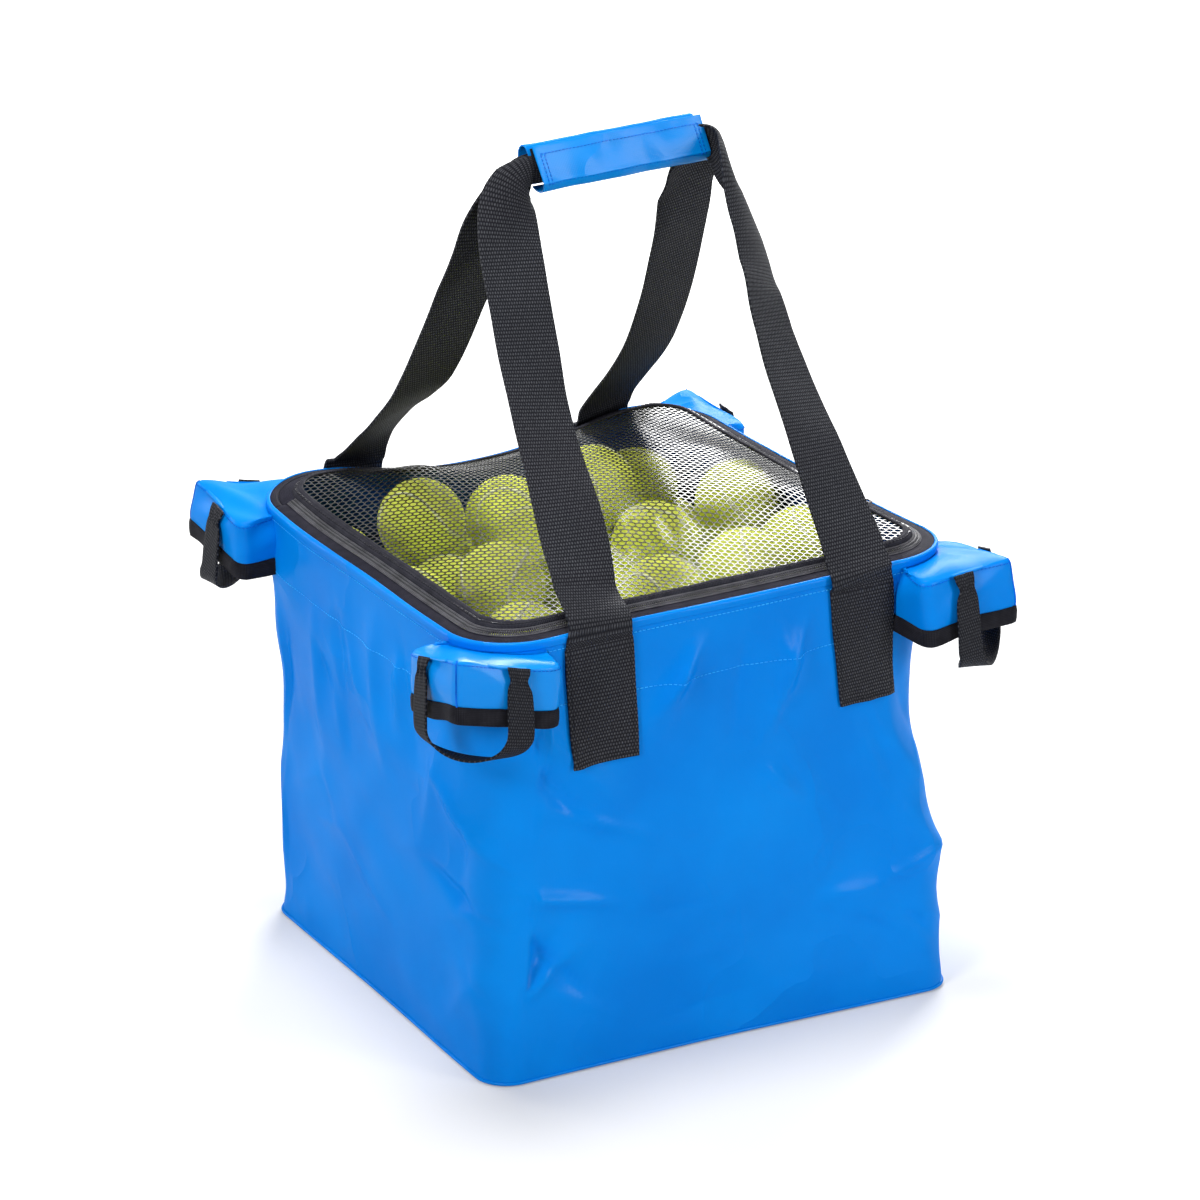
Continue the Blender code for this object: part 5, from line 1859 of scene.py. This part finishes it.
@dataclass
class PullLoop:
    """The strap under a hood's corner, sewn into the top seam at both ends."""

    hood: Hood
    width: float = 0.020
    thickness: float = 0.0014
    offset: float = 0.045
    waist: float = 0.013
    side_drop: float = 0.054
    bow: float = 0.026
    columns: int = 120

    def build(self) -> None:
        """Builds the loop from its stations, drawn in below the seam."""
        hood = self.hood
        label = hood.corner.label
        far = FORM.half + hood.reach
        inset = far - self.offset / 2
        middle = np.array([inset, inset, hood.top])
        run = np.array([-1.0, 1.0, 0.0]) / math.sqrt(2)
        out = np.array([1.0, 1.0, 0.0]) / math.sqrt(2)
        reach = (self.offset + 0.006) / math.sqrt(2)
        drop = -self.side_drop
        stations = [
            (1.0, 0.001, 0.0010, 0.86), (1.0, -0.004, 0.0028, 0.80),
            (1.0, -0.010, 0.0040, self.waist / self.width), (1.0, -0.018, 0.0044, 0.92),
            (1.0, -0.034, 0.0046, 1.0), (0.99, drop, 0.0050, 1.0),
        ]
        bends = []
        for angle in np.radians(np.arange(20, 180, 20)):
            low = math.sin(angle)
            bends.append((math.cos(angle) * 0.97, drop - self.bow * low, 0.006 + 0.004 * low, 1.0))
        ends = [(-s, z, stand, w) for s, z, stand, w in stations[::-1]]
        path = spline(stations + bends + ends, self.columns, even=False)

        def place(u: Array, v: Array) -> Array:
            s, z, stand, w = path[whole(u)].T
            turn = np.radians(90 + 45 * s)
            across = run * np.cos(turn)[:, None] + out * np.sin(turn)[:, None]
            centre = middle + run * (s * (reach + stand * 0.5))[:, None]
            centre = centre + out * (stand * 0.7)[:, None]
            pinch = 0.0016 * np.cos(v / self.width * 4 * math.pi) * np.clip(1 - w, 0, 1) * 2.2
            points = centre + out * pinch[:, None] + across * (v * w)[:, None]
            points[:, 2] += z
            return hood.drape.move(hood.signed(points))

        columns = np.arange(self.columns)
        rows = np.linspace(-self.width / 2, self.width / 2, 9)
        s = run_lengths(place(columns, np.zeros(len(columns))))

        def cloth(u: Array, v: Array) -> Array:
            return np.stack([s[whole(u)], v], -1)

        loop = sheet_object("pull_loop_web_" + label, columns, rows, place, cloth)
        thicken(loop, self.thickness, 0.0)
        dress(loop, LOOP_WEB, Slot.WEBBING, f"loop_{label}", ("pull_loop_" + label,))


@dataclass
class ZipSlider:
    """A slider of the zip and its pull, on the right run of the opening."""

    label: str
    way: int
    middle: float = 0.17665
    plate: float = 0.0012

    def build(self) -> None:
        """Builds the slider's body and its pull."""
        self.body()
        self.pull()

    def body(self) -> None:
        """Two plates on a post, with two ears for the pull, in the CAD node's box."""
        low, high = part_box("zip_slider_" + self.label)
        size, middle = high - low, (high + low) / 2
        bm = bmesh.new()
        for z in (low.z + 0.0006, high.z - 0.0040):
            block(bm, (middle.x, middle.y, z), (size.x, size.y, self.plate))
        post_z = (low.z + high.z - 0.003) / 2
        post_size = (self.plate, size.y * 0.8, size.z - 0.0045)
        block(bm, (low.x + self.plate / 2, middle.y, post_z), post_size)
        for side in (-1, 1):
            ear = (self.middle + side * 0.0029, middle.y, high.z - 0.0022)
            block(bm, ear, (0.0010, 0.0036, 0.0042))
        shape = {"segments": 2, "profile": 0.5, "material": -1, "affect": "EDGES"}
        bmesh.ops.bevel(bm, geom=bm.edges[:], offset=0.0003, **shape)
        body = as_object("slider_body_" + self.label, bm)
        dress(body, METAL, Slot.METAL, "slider_" + self.label, ("zip_slider_" + self.label,))

    def pull(self) -> None:
        """The tapered pull with its opening, in the CAD node's box."""
        low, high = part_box("slider_pull_" + self.label)
        size, middle = high - low, (high + low) / 2
        bm = bmesh.new()
        bmesh.ops.create_grid(bm, x_segments=1, y_segments=3, size=0.5)
        for vertex in bm.verts:
            taper = 0.78 + 0.22 * (vertex.co.y * self.way + 0.5)
            x, y = vertex.co.x * size.x * taper, vertex.co.y * size.y
            vertex.co = (middle.x + x, middle.y + y, middle.z)
        ends = sorted(bm.faces, key=lambda face: face.calc_center_median().y * self.way)
        bmesh.ops.inset_individual(bm, faces=[ends[-1]], thickness=0.0011)
        bmesh.ops.delete(bm, geom=[ends[-1]], context="FACES_ONLY")
        pull = as_object("pull_tab_" + self.label, bm, smooth=False)
        thicken(pull, size.z, 0.0)
        soften(pull, 0.0003)
        dress(pull, METAL, Slot.METAL, "pull_" + self.label, ("slider_pull_" + self.label,))


@dataclass
class Studio:
    """Pale floor, soft lamps and the camera at the photograph's angle."""

    azimuth: float = -28.75
    elevation: float = 19.95
    distance: float = 3.5
    lens: float = 139.03
    aim: tuple[float, float, float] = (0.0, 0.0, 0.2)
    pan: tuple[float, float] = (0.0021, 0.0773)
    floor: float = 14.0
    dim: float = 0.22

    def build(self) -> None:
        """Builds the floor, the lamps, the world and the camera."""
        bm = bmesh.new()
        bmesh.ops.create_grid(bm, x_segments=4, y_segments=4, size=self.floor)
        floor = as_object("studio_floor", bm, smooth=False)
        floor.data.materials.append(paint(FloorPaint()))
        for vertex in floor.data.vertices:
            vertex.co.z = -0.0002
        self.lamps()
        self.camera()

    def lamp(
        self,
        name: str,
        at: Sequence[float],
        size: tuple[float, float],
        power: float,
        aim: Sequence[float] = (0, 0, 0.25),
    ) -> None:
        """A soft rectangular lamp that faces the bag.

        Args:
            name: the lamp's name.
            at: where it stands.
            size: its sides.
            power: in watts.
            aim: the point that it faces.
        """
        data = bpy.data.lights.new(name, "AREA")
        data.shape = "RECTANGLE"
        data.size, data.size_y = size
        data.energy = power
        made = bpy.data.objects.new(name, data)
        made.location = at
        made.visible_camera = False
        made.rotation_euler = (Vector(aim) - Vector(at)).to_track_quat("-Z", "Y").to_euler()
        bpy.context.scene.collection.objects.link(made)

    def lamps(self) -> None:
        """Low lamps behind, which net and folds mirror, two in front, one above, a dim world."""
        self.lamp("lamp_low_back", (1.66, 1.74, 1.58), (1.35, 1.7), 104.0, (0, 0, 0.36))
        self.lamp("lamp_low_left", (-1.35, 2.35, 0.85), (0.7, 1.3), 17.0)
        self.lamp("lamp_top", (-0.25, 0.10, 3.0), (1.0, 1.0), 66.0)
        self.lamp("lamp_front_left", (-2.5, -1.3, 1.7), (0.8, 1.1), 49.0)
        self.lamp("lamp_front_right", (1.40, -2.50, 0.95), (0.8, 1.5), 36.0)
        world = bpy.data.worlds.new("studio_world")
        bpy.context.scene.world = world
        world.use_nodes = True
        tree = world.node_tree
        back = tree.nodes["Background"]
        back.inputs["Color"].default_value = (1.0, 1.0, 1.0, 1.0)
        path = tree.nodes.new("ShaderNodeLightPath")
        seen = path.outputs["Is Camera Ray"]
        for kind in ("Is Glossy Ray", "Is Transmission Ray"):
            either = tree.nodes.new("ShaderNodeMath")
            either.operation = "MAXIMUM"
            tree.links.new(seen, either.inputs[0])
            tree.links.new(path.outputs[kind], either.inputs[1])
            seen = either.outputs[0]
        level = tree.nodes.new("ShaderNodeMapRange")
        tree.links.new(seen, level.inputs["Value"])
        level.inputs["To Min"].default_value = self.dim
        level.inputs["To Max"].default_value = 1.0
        tree.links.new(level.outputs["Result"], back.inputs["Strength"])
        bpy.context.scene.view_settings.view_transform = "Standard"

    def camera(self) -> None:
        """The camera, level and unshifted."""
        a, e = math.radians(self.azimuth), math.radians(self.elevation)
        back = Vector((math.sin(a) * math.cos(e), -math.cos(a) * math.cos(e), math.sin(e)))
        right = Vector((math.cos(a), math.sin(a), 0.0))
        up = back.cross(right)
        data = bpy.data.cameras.new("photo_camera")
        data.lens = self.lens
        data.sensor_width = 36.0
        made = bpy.data.objects.new("photo_camera", data)
        across, above = self.pan
        made.location = Vector(self.aim) + back * self.distance + right * across + up * above
        turn = Matrix((right, up, back)).transposed()
        made.rotation_euler = turn.to_euler()
        bpy.context.scene.collection.objects.link(made)
        bpy.context.scene.camera = made


# Millimetres that each hood's corners hang to the right and up in the photograph
HOOD_SHIFTS = {
    Corner.FRONT_LEFT: (
        ("corner_top", -8.5, 1.7), ("face_top", -7.1, -14.7), ("side_top", -4.8, -14.7),
        ("corner_low", -8.9, 5.7), ("face_low", -7.0, -8.0), ("side_low", -6.0, -8.0),
    ),
    Corner.FRONT_RIGHT: (
        ("corner_top", -1.3, 1.0), ("face_top", 3.8, -4.2), ("side_top", 3.6, -10.0),
        ("corner_low", 7.2, 1.7), ("face_low", 7.6, -4.5), ("side_low", 7.0, -4.5),
    ),
    Corner.REAR_LEFT: (
        ("corner_top", -4.0, 2.5), ("side_top", -3.6, -10.0), ("face_top", -4.0, -9.0),
        ("corner_low", -13.0, 10.0), ("side_low", -6.0, -3.0), ("face_low", -4.0, -4.0),
    ),
    Corner.REAR_RIGHT: (
        ("corner_top", -15.7, 8.3), ("face_top", -4.0, -8.0), ("side_top", -8.0, 0.0),
        ("corner_low", -12.0, 6.0), ("face_low", -4.0, -8.0), ("side_low", -8.0, 0.0),
    ),
}

FRONT_STRAP = Strap(
    name="front", way=-1, slants=(0.10, 0.16),
    left=(
        (0.365, 0.1762, 2), (0.375, 0.1690, 0), (0.395, 0.1529, -7), (0.415, 0.1360, -5),
        (0.435, 0.1177, 0.5), (0.455, 0.1003, 3), (0.480, 0.0815, 4.5), (0.505, 0.0648, 1),
        (0.530, 0.0486, 1), (0.555, 0.0330, -1), (0.577, 0.0215, -1),
    ),
    right=(
        (0.375, 0.1845, 4), (0.395, 0.1689, 8), (0.415, 0.1544, 12), (0.435, 0.1409, 15),
        (0.455, 0.1264, 19), (0.480, 0.1091, 23), (0.505, 0.0944, 29), (0.530, 0.0819, 32),
    ),
    left_rim=((-0.1070, -0.2005, 0.3470), (-0.1065, -0.1940, 0.3545)),
    right_rim=((0.1068, -0.2020, 0.3480), (0.1060, -0.1950, 0.3585)),
    left_turn=(
        (-0.0788, -0.0150, 0.5970, 0, 0.26), (-0.0738, -0.0120, 0.6098, 0, 0.62),
        (-0.0670, -0.0095, 0.6180, 0, 0.88), (-0.0580, -0.0070, 0.6215, 0, 1.0),
    ),
    grip=(
        (-0.050, -0.0060, 0.6220, 0.0, -1.0, 0.0, 1.0),
        (-0.020, -0.0035, 0.6228, 0.0, -0.7, 0.7, 1.0),
        (0.012, -0.0010, 0.6236, 0.0, 0.0, 1.0, 1.0), (0.042, -0.0005, 0.6262, 0.0, 0.7, 0.7, 1.0),
        (0.066, -0.0005, 0.6288, 0.0, 1.0, 0.0, 1.0),
    ),
    right_turn=(
        (0.0935, -0.0710, 0.5500, 34, 0.10), (0.0937, -0.0605, 0.5740, 39, 0.22),
        (0.0920, -0.0510, 0.5945, 46, 0.45), (0.0904, -0.0440, 0.6050, 53, 0.62),
        (0.0903, -0.0335, 0.6150, 66, 0.78), (0.0915, -0.0215, 0.6230, 84, 0.90),
        (0.0895, -0.0120, 0.6280, 115, 0.97), (0.0820, -0.0050, 0.6292, 155, 1.0),
    ),
)

REAR_STRAP = Strap(
    name="rear", way=1,
    left=(
        (0.363, 0.1850, 10), (0.375, 0.1736, 14), (0.395, 0.1491, 14), (0.415, 0.1212, 11),
        (0.435, 0.0978, 9), (0.455, 0.0824, 8), (0.480, 0.0668, 8), (0.505, 0.0520, 9),
        (0.530, 0.0366, 7), (0.555, 0.0190, 3),
    ),
    right=(
        (0.363, 0.1838, 7), (0.375, 0.1753, 5), (0.395, 0.1521, 4), (0.415, 0.1288, 3.5),
        (0.435, 0.1086, 4), (0.455, 0.0920, 6), (0.480, 0.0743, 7), (0.505, 0.0589, 8),
        (0.530, 0.0464, 8), (0.555, 0.0351, 8), (0.580, 0.0270, 6),
    ),
    left_rim=((-0.1070, 0.1965, 0.3465), (-0.1067, 0.1930, 0.3545)),
    right_rim=((0.1070, 0.1965, 0.3490), (0.1066, 0.1925, 0.3555)),
    left_turn=(
        (-0.0822, 0.0095, 0.5800, 0, 0.12), (-0.0755, 0.0055, 0.6010, 0, 0.50),
        (-0.0670, 0.0050, 0.6140, 0, 0.88),
    ),
    grip=(
        (-0.055, 0.0050, 0.6215, 0.0, 1.0, 0.0, 1.0), (0.000, 0.0050, 0.6245, 0.0, 1.0, 0.0, 1.0),
        (0.050, 0.0050, 0.6272, 0.0, 1.0, 0.0, 1.0),
    ),
    right_turn=(
        (0.0845, 0.0190, 0.6010, 4, 0.45), (0.0800, 0.0110, 0.6180, 0, 0.80),
        (0.0690, 0.0065, 0.6265, 0, 1.0),
    ),
)


def main() -> None:
    """Builds every sub-assembly in order and reports each."""
    logging.basicConfig(level=logging.INFO, format="%(message)s")
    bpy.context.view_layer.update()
    studio = Studio()
    studio.build()
    log.info("studio: floor, lamps and camera")
    shell = BagShell()
    shell.build()
    log.info("bag shell: %d columns by %d rows", shell.columns, shell.rows)
    ZipBand(shell).build()
    log.info("zip band: tapes, teeth and binding")
    pile = BallPile()
    pile.settle()
    pile.build()
    log.info("balls: %d", len(pile.centres))
    LidNet(pile).build()
    log.info("lid net")
    for strap in (FRONT_STRAP, REAR_STRAP):
        strap.build()
        log.info("%s strap", strap.name)
    GripWrap().build()
    log.info("grip wrap")
    for corner, shifts in HOOD_SHIFTS.items():
        hood = Hood(corner, shifts)
        hood.build()
        PullLoop(hood).build()
        log.info("hood and loop: %s", corner.label)
    for label, way in (("front", -1), ("rear", 1)):
        ZipSlider(label, way).build()
    log.info("sliders")


if __name__ == "__main__":
    main()
